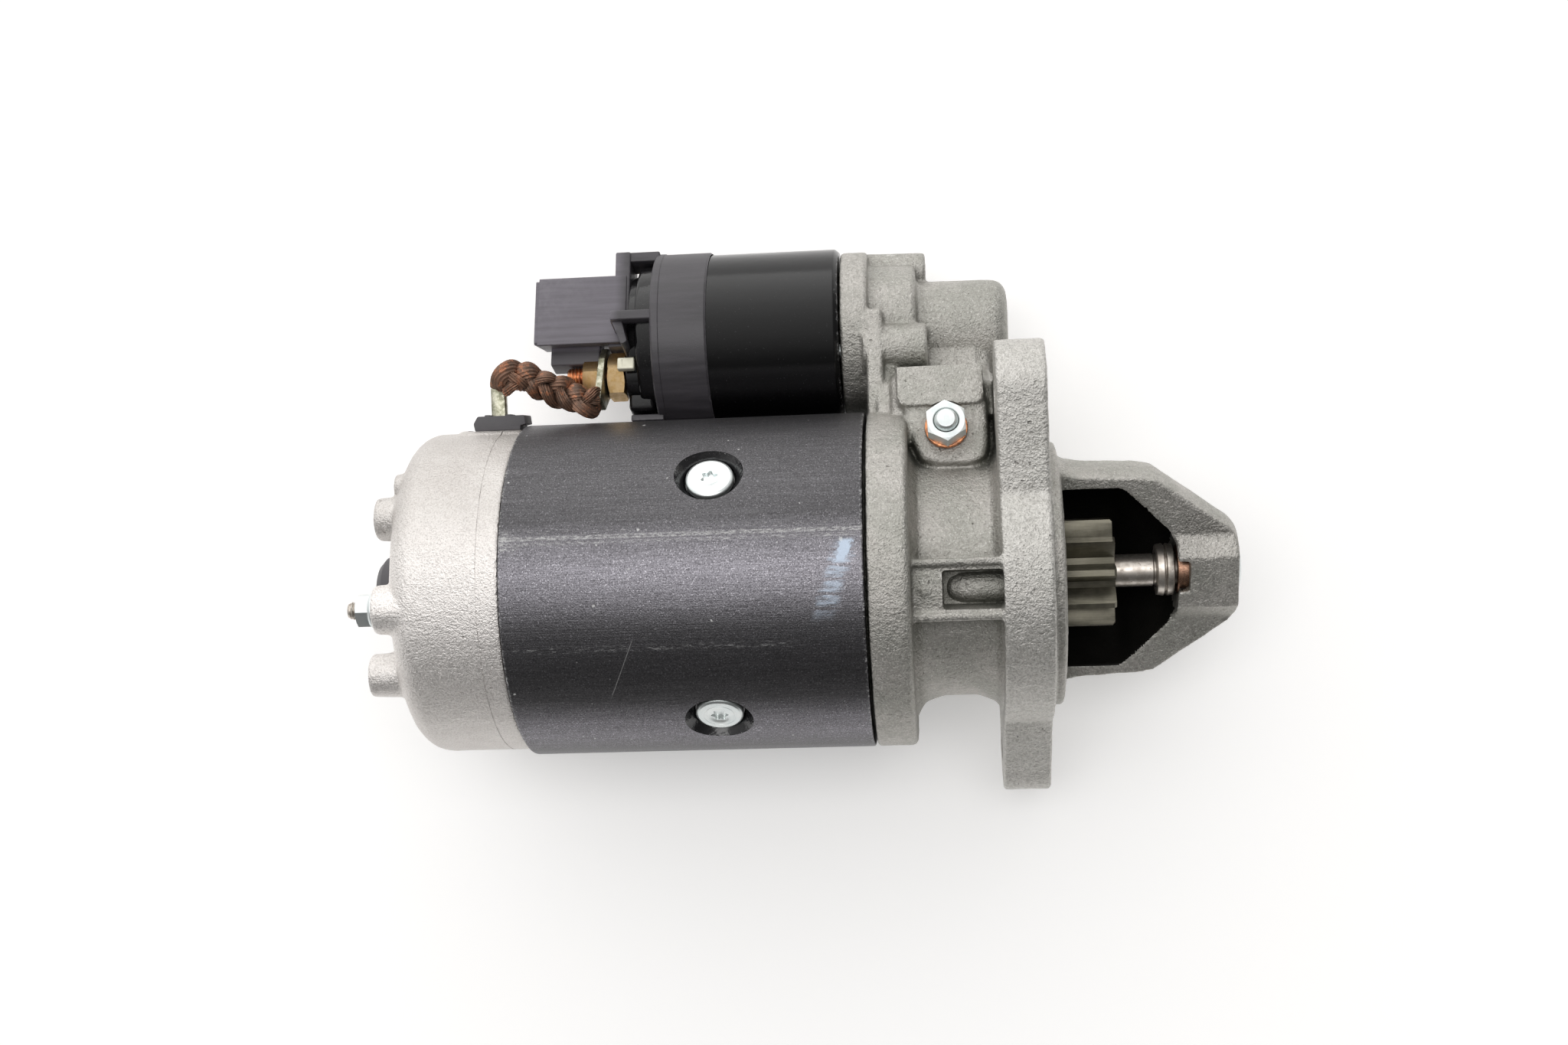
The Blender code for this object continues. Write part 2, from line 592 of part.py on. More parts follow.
# ---------------------------------------------------------------- centre bearing
bearing_plate = part(
    "centre_bearing_plate",
    spun([(-66.0, 11.35), (-66.0, 50.2), (-63.6, 50.2), (-63.6, 15.5), (-58.0, 14.0),
          (-58.0, 11.35)], 32), DARK_STEEL)
cut_bolt_holes(bearing_plate, -68, -61, segments=16)
part("centre_bushing", spun([(-66.4, 8.8), (-66.4, 11.0), (-57.6, 11.0), (-57.6, 8.8)], 16),
     BRONZE)

# ================================================================ fork pivot
pivot_bolt = part("fork_pivot_bolt", pin(-36.5, 45.2, PIVOT_R, 12, PIVOT, "Z"), ZINC)
join(pivot_bolt, pushed(hexagon(PIVOT_HEX, PIVOT), -41.6, -35.4, "Z"))
pivot_washer = part("pivot_washer", pin(35.35, 36.7, 7.1, 16, PIVOT, "Z"), COPPER)
cut(pivot_washer, pin(34, 38, PIVOT_HOLE_R, 12, PIVOT, "Z"))
hex_nut("fork_pivot_nut", PIVOT_HEX, PIVOT, 90, (37.05, 43.4), PIVOT_HOLE_R, (35, 46), ZINC, "Z")

# ================================================================ armature
SHAFT_PROFILE = [  # x, r
    (-221.0, 0.0), (-221.0, 5.4), (-220.4, 6.0), (-206.0, 6.0), (-206.0, 7.0),
    (-188.0, 7.0), (-188.0, 9.0), (-157.2, 9.0), (-157.2, 10.0), (-73.0, 10.0),
    (-73.0, 8.5), (-57.0, 8.5), (-57.0, 8.2), (-13.6, 8.2), (-13.0, 5.5), (59.5, 5.5),
    (60.2, 4.8), (60.2, 0.0)]
part("armature_shaft", spun(SHAFT_PROFILE, 16), STEEL, shaft_axis)

# ---------------------------------------------------------------- slotted core
SLOT_PITCH = 360.0 / ARMATURE_SLOTS
MOUTH_HALF_ANGLE = math.degrees(SLOT_HALF_WIDTH / CORE_R)
FLOOR_HALF_ANGLE = math.degrees(SLOT_HALF_WIDTH / SLOT_FLOOR_R)
SLOT_POINTS = [  # r, angle from the slot's middle
    (CORE_R, -15.0), (CORE_R, -9.0), (CORE_R, -MOUTH_HALF_ANGLE),
    (SLOT_FLOOR_R, -FLOOR_HALF_ANGLE), (SLOT_FLOOR_R, FLOOR_HALF_ANGLE),
    (CORE_R, MOUTH_HALF_ANGLE), (CORE_R, 9.0)]
core_outline = [
    polar(radius, SLOT_PITCH * k + offset)
    for k in range(ARMATURE_SLOTS) for radius, offset in SLOT_POINTS]
core = part("armature_core", pushed(core_outline, POLE_X - 33.1, POLE_X + 32.9), LAMINATION,
            shaft_axis)
cut(core, pin(-150, -70, 10.4, 16))

# ---------------------------------------------------------------- armature winding
# an overhang at each end of the core, and a bar in every slot
COMMUTATOR_END_OVERHANG = [  # x, r
    (-157.0, 11.2), (-157.0, 24.0), (-150.0, 34.0), (-144.5, 37.5), (-142.7, 37.5),
    (-142.7, 11.2)]
DRIVE_END_OVERHANG = [
    (-75.9, 11.2), (-75.9, 37.5), (-74.2, 37.5), (-70.5, 32.0), (-68.3, 24.0), (-68.3, 11.2)]
slot_bars = bmesh.new()
for k in range(ARMATURE_SLOTS):
    slot_bars.from_mesh(
        turned(block((-143.6, -75.2), (31.4, 36.8), (-1.6, 1.6)), SLOT_PITCH * k))
bar_mesh = bpy.data.meshes.new("slot_bars")
slot_bars.to_mesh(bar_mesh)
slot_bars.free()
armature_winding = part("armature_winding", spun(COMMUTATOR_END_OVERHANG, 24), ENAMEL, shaft_axis)
join(armature_winding, spun(DRIVE_END_OVERHANG, 24), bar_mesh)

# ---------------------------------------------------------------- rings on the shaft
COMMUTATOR_PROFILE = [  # x, r
    (-184.2, 9.4), (-184.2, 20.4), (-183.6, 21.0), (-161.0, 21.0), (-160.4, 25.0),
    (-157.4, 25.0), (-157.4, 9.4)]
STOP_RING_PROFILE = [
    (36.3, 5.85), (36.3, 8.3), (36.9, 8.9), (38.6, 8.9), (39.2, 8.0), (39.8, 8.9),
    (41.4, 8.9), (42.0, 8.3), (42.0, 5.85)]
part("commutator", spun(COMMUTATOR_PROFILE, 24), COPPER, shaft_axis)
part("stop_ring", spun(STOP_RING_PROFILE, 16), STEEL, shaft_axis)

# ================================================================ drive (slides on the shaft)
COLLAR_PROFILE = [  # x, r
    (-45.4, 12.4), (-45.4, 20.8), (-41.9, 20.8), (-41.9, 16.0), (-35.1, 16.0),
    (-35.1, 20.8), (-31.6, 20.8), (-31.6, 12.4)]
CLUTCH_PROFILE = [
    (-31.0, 12.0), (-31.0, 25.6), (-29.6, 27.0), (-7.6, 27.0), (-6.0, 25.4), (-6.0, 11.5),
    (-12.9, 11.5), (-12.9, 8.6), (-48.5, 8.6), (-48.5, 12.0)]
part("shift_collar", spun(COLLAR_PROFILE, 24), PLASTIC, shaft_axis)
part("overrunning_clutch", spun(CLUTCH_PROFILE, 24), DARK_STEEL, shaft_axis)

# ---------------------------------------------------------------- pinion
TOOTH_POINTS = [  # r, angle from the tooth's middle
    (PINION_ROOT_R, -13.0), (14.3, -9.6), (16.6, -6.6), (PINION_TIP_R, -3.1),
    (PINION_TIP_R, 3.1), (16.6, 6.6), (14.3, 9.6), (PINION_ROOT_R, 13.0)]
pinion_outline = [
    polar(radius, 360.0 / PINION_TEETH * k + offset)
    for k in range(PINION_TEETH) for radius, offset in TOOTH_POINTS]
pinion = part("pinion", pushed(pinion_outline, *PINION_X), DARK_STEEL, shaft_axis)
join(pinion, pin(-12.4, -3.0, 11.0, 20))
cut(pinion, pin(-20, 30, 5.9, 16))

# ================================================================ solenoid
CAN_PROFILE = [  # x, r
    (CAN_X[0], 28.8), (CAN_X[0], CAN_R), (CAN_X[1] - 0.8, CAN_R), (CAN_X[1], CAN_R - 0.8),
    (CAN_X[1], 11.3), (-71.6, 11.3), (-71.6, 28.8)]
SCREW_PROFILE = [
    (-71.0, 0.0), (-71.0, 2.5), (-42.4, 2.5), (-42.4, 4.05), (-38.8, 4.05), (-38.4, 3.7),
    (-38.4, 2.2), (-40.4, 2.2), (-40.4, 0.0)]
can = part("solenoid_can", spun(CAN_PROFILE, 32, SOLENOID_CENTRE), GLOSS_BLACK)
for i, centre in enumerate(SCREW_CENTRES):
    cut(can, pin(-73, -66, SCREW_HOLE_R, 10, centre))
    part(f"solenoid_screw_{i + 1}", spun(SCREW_PROFILE, 10, centre), ZINC)
part("solenoid_coil",
     spun([(-124.4, 11.15), (-124.4, 28.3), (-72.2, 28.3), (-72.2, 11.15)], 24,
          SOLENOID_CENTRE), ENAMEL)
part("solenoid_core",
     spun([(-124.2, 2.7), (-124.2, 10.8), (-99.5, 10.8), (-99.5, 2.7)], 16, SOLENOID_CENTRE),
     DARK_STEEL)

# ---------------------------------------------------------------- cap with two stud bosses
CAP_PROFILE = [  # x, r
    (-125.0, 24.0), (-125.0, 28.3), (-127.9, 28.3), (-127.9, 30.9), (-130.9, 30.9),
    (-131.9, 26.3), (-136.6, 26.3), (-139.2, 23.4), (-139.2, 0.0), (-136.2, 0.0),
    (-136.2, 24.0)]
cap = part("solenoid_cap", spun(CAP_PROFILE, 32, SOLENOID_CENTRE), BAKELITE)
join(cap, *(pin(-143.7, -136.9, 8.4, 16, stud) for stud in (MOTOR_STUD, BATTERY_STUD)))
cut(cap, *(pin(-146, -132, STUD_HOLE_R, 12, stud) for stud in (MOTOR_STUD, BATTERY_STUD)))

# ---------------------------------------------------------------- connector ring
# clamp ring with its plug housing; the plug opens towards -X
CLAMP_PROFILE = [  # x, r
    (CLAMP_X[0], 26.8), (CLAMP_X[0], CLAMP_R - 0.3), (CLAMP_X[0] + 0.3, CLAMP_R),
    (CLAMP_X[1], CLAMP_R), (CLAMP_X[1], 31.5), (-131.4, 31.5), (-132.3, 26.8)]
PLUG_BLOCKS = [  # x, y and z spans
    ((-147.5, -132.55), (117.4, 121.2), (7.5, 18.2)),
    ((-147.7, -142.3), (95.0, 121.0), (3.5, 19.0)),
    ((-176.2, -143.4), (83.5, 109.8), (3.0, 19.5)),
    ((-171.3, -160.0), (79.1, 84.6), (4.5, 13.0)),
    ((-146.9, -132.55), (86.9, 90.5), (27.0, 31.6)),
    ((-147.1, -143.0), (86.9, 90.5), (16.0, 30.0)),
]
connector_ring = part("connector_ring", spun(CLAMP_PROFILE, 32, SOLENOID_CENTRE), PLASTIC)
join(connector_ring, *(block(*spans) for spans in PLUG_BLOCKS))
cut(connector_ring, block((-177.5, -149.0), (85.6, 107.7), (5.2, 17.3)))

# ---------------------------------------------------------------- terminals
STUD_PROFILE = [  # x, r
    (-165.2, 0.0), (-165.2, 3.4), (-164.6, STUD_R), (-135.9, STUD_R), (-135.9, 5.2),
    (-133.5, 5.2), (-133.5, 0.0)]
for label, stud in (("motor", MOTOR_STUD), ("battery", BATTERY_STUD)):
    part(f"{label}_terminal_stud", spun(STUD_PROFILE, 12, stud), COPPER)
    hex_nut(f"{label}_terminal_nut", 15.0, stud, 30, (-150.3, -144.05), STUD_HOLE_R,
            (-152, -142), BRASS)
hex_nut("lead_clamp_nut", 11.5, MOTOR_STUD, 30, (-159.4, -153.05), STUD_HOLE_R,
        (-161, -151), BRASS)
lug = part("braid_lug",
           pushed(hull_outline(MOTOR_STUD, 7.4, (65.6, 17.6), 5.0, 8), -152.7, -150.65), TIN)
cut(lug, pin(-154, -149, STUD_HOLE_R, 12, MOTOR_STUD))
part("switch_terminal", block((-145.6, -139.6), (72.2, 76.6), (19.6, 22.6)), CREAM, smooth=False)

# ---------------------------------------------------------------- braided lead
LEAD_PATH = [  # x, y, z
    (-190.3, 66.0, 33.0), (-182.5, 69.8, 28.2), (-172.5, 68.8, 24.4), (-165.0, 64.3, 22.6),
    (-160.0, 62.6, 21.2), (-155.2, 64.0, 19.4)]
part("braided_lead", swept(smooth_path(LEAD_PATH, per_span=4), 4.3, 10), BRAID)

# ---------------------------------------------------------------- plunger
# with spring seat and an eye for the fork, placed at the fork's rest lean
EYE_X = PIVOT[0] + FORK_TOP * math.sin(math.radians(FORK_REST_DEG))
EYE_HALF_LENGTH = 4.55
PLUNGER_PROFILE = [  # x, r
    (-84.0, 0.0), (-84.0, 10.1), (-83.4, 10.6), (-45.4, 10.6), (-45.4, 14.0), (-43.4, 14.0),
    (-43.4, 10.6), (-16.6, 10.6), (-15.6, 9.6), (-15.6, 0.0)]
plunger = part("plunger", spun(PLUNGER_PROFILE, 20, SOLENOID_CENTRE), STEEL, plunger_axis)
cut(plunger, block((EYE_X - EYE_HALF_LENGTH, EYE_X + EYE_HALF_LENGTH), (76.0, 96.5),
                   (-5.2, 5.2)))

# ---------------------------------------------------------------- return spring
# around the plunger, between the can and the spring seat
SPRING_START_X = -66.9
SPRING_LENGTH = 20.2
SPRING_R = 12.6
WIRE_R = 0.8
SPRING_TURNS = 4
STEPS_PER_TURN = 12
spring_steps = SPRING_TURNS * STEPS_PER_TURN
spring_path = []
for k in range(spring_steps + 1):
    angle = 2 * math.pi * k / STEPS_PER_TURN
    spring_path.append(Vector((
        SPRING_START_X + SPRING_LENGTH * k / spring_steps,
        SOLENOID_Y + SPRING_R * math.cos(angle), SPRING_R * math.sin(angle))))
part("return_spring", swept(spring_path, WIRE_R, 4), STEEL)

# ---------------------------------------------------------------- contact bridge
# disc and push rod through the fixed core
BRIDGE_PROFILE = [  # x, r
    (-131.0, 0.0), (-131.0, 2.0), (-130.3, 2.0), (-130.3, 20.6), (-128.6, 20.6),
    (-128.6, 2.1), (-96.6, 2.1), (-96.6, 0.0)]
part("contact_bridge", spun(BRIDGE_PROFILE, 16, SOLENOID_CENTRE), COPPER, plunger_axis)

# ================================================================ shift fork
# Written upright; its axis empty leans it. The half ring opens away from the
# solenoid, and its ends carry the shoes that run in the collar groove.
PIVOT_X, PIVOT_Y = PIVOT
SHOE_Z = (16.8, 24.0)
LEVER_FOOT_Y = 44.0
LEVER_OUTLINE = [  # x, y
    (PIVOT_X - 4.2, LEVER_FOOT_Y), (PIVOT_X + 4.2, LEVER_FOOT_Y),
    (PIVOT_X + 2.3, 88.5), (PIVOT_X - 2.3, 88.5)]
fork = part("shift_fork", sector(22.2, 26.4, -96, 96, PIVOT_X - 2.6, PIVOT_X + 2.6, 12), CAST,
            fork_axis)
join(
    fork,
    pin(SHOE_Z[0], SHOE_Z[1], 2.8, 12, (PIVOT_X, 0.0), "Z"),
    pin(-SHOE_Z[1], -SHOE_Z[0], 2.8, 12, (PIVOT_X, 0.0), "Z"),
    block((PIVOT_X - 3.2, PIVOT_X + 3.2), (23.4, LEVER_FOOT_Y), (-5.0, 5.0)),
    pin(-7.4, 7.4, 7.0, 16, PIVOT, "Z"),
    pushed(LEVER_OUTLINE, -3.9, 3.9, "Z"),
    pin(-4.6, 4.6, 4.15, 16, (PIVOT_X, PIVOT_Y + FORK_TOP), "Z"),
)
cut(fork, pin(-12, 12, PIVOT_HOLE_R, 12, PIVOT, "Z"))
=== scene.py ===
"""Looks for the starter motor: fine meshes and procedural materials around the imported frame.

Every piece is modelled in millimetres in the machine's own frame: X along the shaft towards the
pinion, Y towards the solenoid, Z up towards the camera. Angles about X run from +Y towards +Z.
The piece is then rolled about the shaft and scaled to metres, as the machine lies on its pole
housing and the solenoid's clamp ring. The world origin is the end of the nose; the machine's own
frame starts at the flange face, 64.1 mm behind it.
"""
import json
import math
import random
from functools import cached_property

import bmesh
import bpy
import numpy as np
from mathutils import Matrix, Vector, noise


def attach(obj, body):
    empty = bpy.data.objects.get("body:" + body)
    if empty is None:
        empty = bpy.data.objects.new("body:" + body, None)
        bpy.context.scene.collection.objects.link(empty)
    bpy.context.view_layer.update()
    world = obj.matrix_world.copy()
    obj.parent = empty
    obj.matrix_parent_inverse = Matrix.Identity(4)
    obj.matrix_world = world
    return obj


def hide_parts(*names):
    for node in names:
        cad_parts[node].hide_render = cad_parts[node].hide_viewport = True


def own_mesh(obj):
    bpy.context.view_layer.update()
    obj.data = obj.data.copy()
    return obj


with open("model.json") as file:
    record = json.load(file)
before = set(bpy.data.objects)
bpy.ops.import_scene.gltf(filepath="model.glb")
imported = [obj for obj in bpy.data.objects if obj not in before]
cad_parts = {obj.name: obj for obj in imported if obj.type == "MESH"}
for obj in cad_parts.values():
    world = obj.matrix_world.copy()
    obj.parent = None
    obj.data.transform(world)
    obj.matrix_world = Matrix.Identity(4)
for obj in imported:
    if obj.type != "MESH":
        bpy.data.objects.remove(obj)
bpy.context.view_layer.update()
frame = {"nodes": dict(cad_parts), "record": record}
random.seed(7)
scene = bpy.context.scene


def polar(radius, angle):
    return radius * math.cos(math.radians(angle)), radius * math.sin(math.radians(angle))


# ------------------------------------------------------------------ driving dimensions, mm
# A centre is (y, z), the place of a line along X.
NOSE_END = 64.1
YOKE_R, CLAMP_R, SOLENOID_Y = 57.0, 32.3, 90.5
SOLENOID = (SOLENOID_Y, 0.0)
YOKE_BORE_R = 51.0
YOKE_X = (-176.3, -59.8)
POLE_ANGLES = [67.5 + 90 * k for k in range(4)]
POLE_X = -109.2
SEAM_ANGLE = 89.9
BOLT_R = 2.9
BOLT_HOLE_R = BOLT_R + 0.4
BOLT_NUT_HOLE_R = BOLT_R + 0.32
BOLT_ANGLES, BOLT_PITCH = (112.5, 292.5), 46.3
BOLT_CENTRES = [polar(BOLT_PITCH, angle) for angle in BOLT_ANGLES]
SCREW_ANGLES, SCREW_PITCH, SCREW_HOLE_R = (6.0, 126.0, 246.0), 22.9, 2.85
SCREW_CENTRES = [(SOLENOID_Y + y, z)
                 for y, z in (polar(SCREW_PITCH, angle) for angle in SCREW_ANGLES)]
PIVOT_X, PIVOT_Y, PIVOT_HOLE_R = -32.4, 40.5, 4.35
MOTOR_STUD, BATTERY_STUD, STUD_HOLE_R = (74.6, 9.2), (106.4, -9.2), 4.35
EAR_ANGLE, EAR_PITCH, EAR_TIP_R, EAR_HOLE_R = 43.0, 66.5, 17.0, 6.6
GROMMET_ANGLE = 20.0

TILT = math.asin((YOKE_R - CLAMP_R) / SOLENOID_Y)
TO_WORLD = (Matrix.Translation((-NOSE_END * 0.001, 0, 0)) @ Matrix.Rotation(-TILT, 4, "X")
            @ Matrix.Scale(0.001, 4))


# ------------------------------------------------------------------ outlines
def rounded(points, steps=5, closed=False):
    """Outline with rounded corners. A point is (a, b) or (a, b, radius)."""
    out = []
    count = len(points)
    for i, point in enumerate(points):
        radius = point[2] if len(point) > 2 else 0.0
        if radius <= 0 or (not closed and i in (0, count - 1)):
            out.append((point[0], point[1]))
            continue
        here = Vector(point[:2])
        back = Vector(points[i - 1][:2]) - here
        ahead = Vector(points[(i + 1) % count][:2]) - here
        back_length, ahead_length = back.length, ahead.length
        back, ahead = back / back_length, ahead / ahead_length
        angle = math.acos(max(-1, min(1, back.dot(ahead))))
        reach = min(radius / max(math.tan(angle / 2), 1e-3),
                    0.48 * back_length, 0.48 * ahead_length)
        start, end = here + back * reach, here + ahead * reach
        for k in range(steps + 1):
            t = k / steps
            spot = start * (1 - t) ** 2 + here * 2 * t * (1 - t) + end * t * t
            out.append((spot.x, spot.y))
    return out


def arc(radius, start, end, steps, centre=(0.0, 0.0)):
    return [(centre[0] + radius * math.cos(math.radians(start + (end - start) * i / steps)),
             centre[1] + radius * math.sin(math.radians(start + (end - start) * i / steps)))
            for i in range(steps + 1)]


def hexagon(across, centre=(0.0, 0.0), phase=0.0):
    radius = across / math.sqrt(3.0)
    return [(centre[0] + radius * math.cos(math.radians(60 * i + phase)),
             centre[1] + radius * math.sin(math.radians(60 * i + phase))) for i in range(6)]


# ------------------------------------------------------------------ solids
def to_mesh(bm):
    bmesh.ops.remove_doubles(bm, verts=bm.verts[:], dist=1e-4)
    bmesh.ops.recalc_face_normals(bm, faces=bm.faces[:])
    if bm.calc_volume(signed=True) < 0:
        bmesh.ops.reverse_faces(bm, faces=bm.faces[:])
    mesh = bpy.data.meshes.new("mesh")
    bm.to_mesh(mesh)
    bm.free()
    return mesh


def bridge(bm, first, second):
    """Quads between two rings of vertices."""
    for k in range(len(first)):
        j = (k + 1) % len(first)
        bm.faces.new((first[k], first[j], second[j], second[k]))


def lathe(profile, seg=96, centre=(0.0, 0.0), steps=5, angles=None, offset=None):
    """Solid of revolution about a line along X; profile points are (x, r[, corner radius])."""
    points = rounded(profile, steps)
    ring_closed = not (abs(points[0][1]) < 1e-9 and abs(points[-1][1]) < 1e-9)
    angles = angles or [360.0 * k / seg for k in range(seg)]
    rows = []
    bm = bmesh.new()
    for x, r in points:
        if abs(r) < 1e-9:
            rows.append([bm.verts.new((x, centre[0], centre[1]))] * len(angles))
            continue
        row = []
        for angle in angles:
            radius = r + (offset(r, angle) if offset else 0.0)
            row.append(bm.verts.new((x, centre[0] + radius * math.cos(math.radians(angle)),
                                     centre[1] + radius * math.sin(math.radians(angle)))))
        rows.append(row)
    pairs = list(zip(rows, rows[1:]))
    if ring_closed:
        pairs.append((rows[-1], rows[0]))
    for first, second in pairs:
        for k in range(len(angles)):
            j = (k + 1) % len(angles)
            face = []
            for vert in (first[k], first[j], second[j], second[k]):
                if vert not in face:
                    face.append(vert)
            if len(face) > 2:
                bm.faces.new(face)
    return to_mesh(bm)


def prism(outline, low, high, axis="X", bevel=0.0):
    """Flat outline pushed along an axis; outline is (y, z) for X, (x, z) for Y, (x, y) for Z."""
    put = {"X": lambda a, b, c: (c, a, b), "Y": lambda a, b, c: (a, c, b),
           "Z": lambda a, b, c: (a, b, c)}[axis]
    bm = bmesh.new()
    below = [bm.verts.new(put(a, b, low)) for a, b in outline]
    above = [bm.verts.new(put(a, b, high)) for a, b in outline]
    bottom, top = bm.faces.new(below), bm.faces.new(above[::-1])
    count = len(outline)
    for k in range(count):
        j = (k + 1) % count
        bm.faces.new((below[k], above[k], above[j], below[j]))
    if bevel > 0:
        rim = set(bottom.edges) | set(top.edges)
        bmesh.ops.recalc_face_normals(bm, faces=bm.faces[:])
        bmesh.ops.bevel(bm, geom=list(rim), offset=bevel, segments=2, profile=0.5,
                        affect="EDGES", clamp_overlap=True)
    return to_mesh(bm)


def sector(inner, outer, start, end, x0, x1, steps=24, bevel=0.0):
    """Piece of a ring about the shaft."""
    return prism(arc(outer, start, end, steps) + arc(inner, end, start, steps), x0, x1,
                 bevel=bevel)


def rod(start, end, radius, seg):
    start, end = Vector(start), Vector(end)
    length = (end - start).length
    mesh = lathe([(0, 0), (0, radius), (length, radius), (length, 0)], seg)
    turn = (end - start).to_track_quat("X", "Z").to_matrix().to_4x4()
    mesh.transform(Matrix.Translation(start) @ turn)
    return mesh


def drill(centre, x0, x1, radius, seg=32):
    """Rod along X, for cutting a hole."""
    return rod((x0, *centre), (x1, *centre), radius, seg)


def box(x, y, z, bevel=0.5, steps=2):
    bm = bmesh.new()
    bmesh.ops.create_cube(bm, size=1.0)
    bmesh.ops.scale(bm, vec=(x[1] - x[0], y[1] - y[0], z[1] - z[0]), verts=bm.verts[:])
    bmesh.ops.translate(bm, vec=((x[0] + x[1]) / 2, (y[0] + y[1]) / 2, (z[0] + z[1]) / 2),
                        verts=bm.verts[:])
    if bevel > 0:
        bmesh.ops.bevel(bm, geom=bm.edges[:], offset=bevel, segments=steps, profile=0.5,
                        affect="EDGES", clamp_overlap=True)
    return to_mesh(bm)


def rolled(mesh, angle):
    """The mesh rolled about the shaft."""
    mesh.transform(Matrix.Rotation(math.radians(angle), 4, "X"))
    return mesh


def threads(radius, x0, x1, pitch, depth, centre, seg, tip):
    """Threaded rod along X: one helical ridge, tapered over `tip` at x0, its free end."""
    rows_per_pitch = 6
    count = int((x1 - x0) / pitch * rows_per_pitch)
    bm = bmesh.new()
    rows = []
    for i in range(count + 1):
        x = x0 + (x1 - x0) * i / count
        limit = radius - (1 - min((x - x0) / tip, 1.0)) * (depth + 0.2)
        row = []
        for k in range(seg):
            turn = 2 * math.pi * k / seg
            phase = ((x / pitch) - k / seg) % 1.0
            ridge = abs(phase - 0.5) * 2.0
            r = min(radius - depth * (1 - min(1.0, ridge * 1.15)), limit)
            row.append(bm.verts.new((x, centre[0] + r * math.cos(turn),
                                     centre[1] + r * math.sin(turn))))
        rows.append(row)
    for first, second in zip(rows, rows[1:]):
        bridge(bm, first, second)
    bm.faces.new(rows[0])
    bm.faces.new(rows[-1][::-1])
    return to_mesh(bm)


# ------------------------------------------------------------------ modifiers
def with_mods(mesh, *mods):
    """The mesh after these modifiers, each (type, {settings})."""
    holder = bpy.data.objects.new("holder", mesh)
    scene.collection.objects.link(holder)
    for kind, settings in mods:
        modifier = holder.modifiers.new(kind, kind)
        for key, value in settings.items():
            setattr(modifier, key, value)
    bpy.context.view_layer.update()
    graph = bpy.context.evaluated_depsgraph_get()
    out = bpy.data.meshes.new_from_object(holder.evaluated_get(graph))
    bpy.data.objects.remove(holder)
    return out


def boolean(mesh, others, operation):
    helpers, mods = [], []
    for other in others:
        helper = bpy.data.objects.new("helper", other)
        scene.collection.objects.link(helper)
        helpers.append(helper)
        mods.append(("BOOLEAN", {"operation": operation, "solver": "MANIFOLD",
                                 "object": helper}))
    out = with_mods(mesh, *mods)
    for helper in helpers:
        bpy.data.objects.remove(helper)
    return out


def union(mesh, *others):
    return boolean(mesh, others, "UNION")


def minus(mesh, *others):
    return boolean(mesh, others, "DIFFERENCE")


def cast(mesh, voxel, smooth):
    """Voxel remesh and relax: sharp joins turn into the small fillets of a casting."""
    return with_mods(mesh, ("REMESH", {"mode": "VOXEL", "voxel_size": voxel, "adaptivity": 0.0}),
                     ("SMOOTH", {"factor": 0.5, "iterations": smooth}))


def thin_out(mesh, ratio):
    return with_mods(mesh, ("DECIMATE", {"ratio": ratio}))


def skin(mesh, layers):
    """Moves the surface along its normals by smooth noise; layers are (wavelength, height)."""
    count = len(mesh.vertices)
    places = np.empty(count * 3, np.float32)
    normals = np.empty(count * 3, np.float32)
    mesh.vertices.foreach_get("co", places)
    mesh.vertex_normals.foreach_get("vector", normals)
    places, normals = places.reshape(-1, 3), normals.reshape(-1, 3)
    lift = np.zeros(count)
    for wave, height in layers:
        lift += height * np.array([noise.noise(Vector(p) / wave) for p in places.tolist()])
    moved = (places + normals * lift[:, None]).astype(np.float32)
    mesh.vertices.foreach_set("co", moved.ravel())
    mesh.update()
    return mesh


def nut(across, x0, x1, centre, phase, hole):
    """Hex nut along X with its corners turned off at both faces."""
    body = prism(hexagon(across, centre, phase), x0, x1)
    corner = across / math.sqrt(3.0)
    lead = (corner - across / 2) * 0.55
    turned = lathe([(x0, 0), (x0, across / 2 - 0.1, 0.2), (x0 + lead, corner + 0.05),
                    (x1 - lead, corner + 0.05), (x1, across / 2 - 0.1, 0.2), (x1, 0)],
                   72, centre)
    hollow = lathe([(x0 - 1, 0), (x0 - 1, hole + 1.15), (x0 + 0.65, hole), (x1 - 0.65, hole),
                    (x1 + 1, hole + 1.15), (x1 + 1, 0)], 48, centre)
    return minus(boolean(body, [turned], "INTERSECT"), hollow)


# ------------------------------------------------------------------ materials
def set_stops(ramp, stops):
    """Fills a grey colour ramp from (position, value)."""
    elements = ramp.color_ramp.elements
    while len(elements) < len(stops):
        elements.new(0.5)
    for element, (position, value) in zip(elements, stops):
        element.position = position
        element.color = (value, value, value, 1)


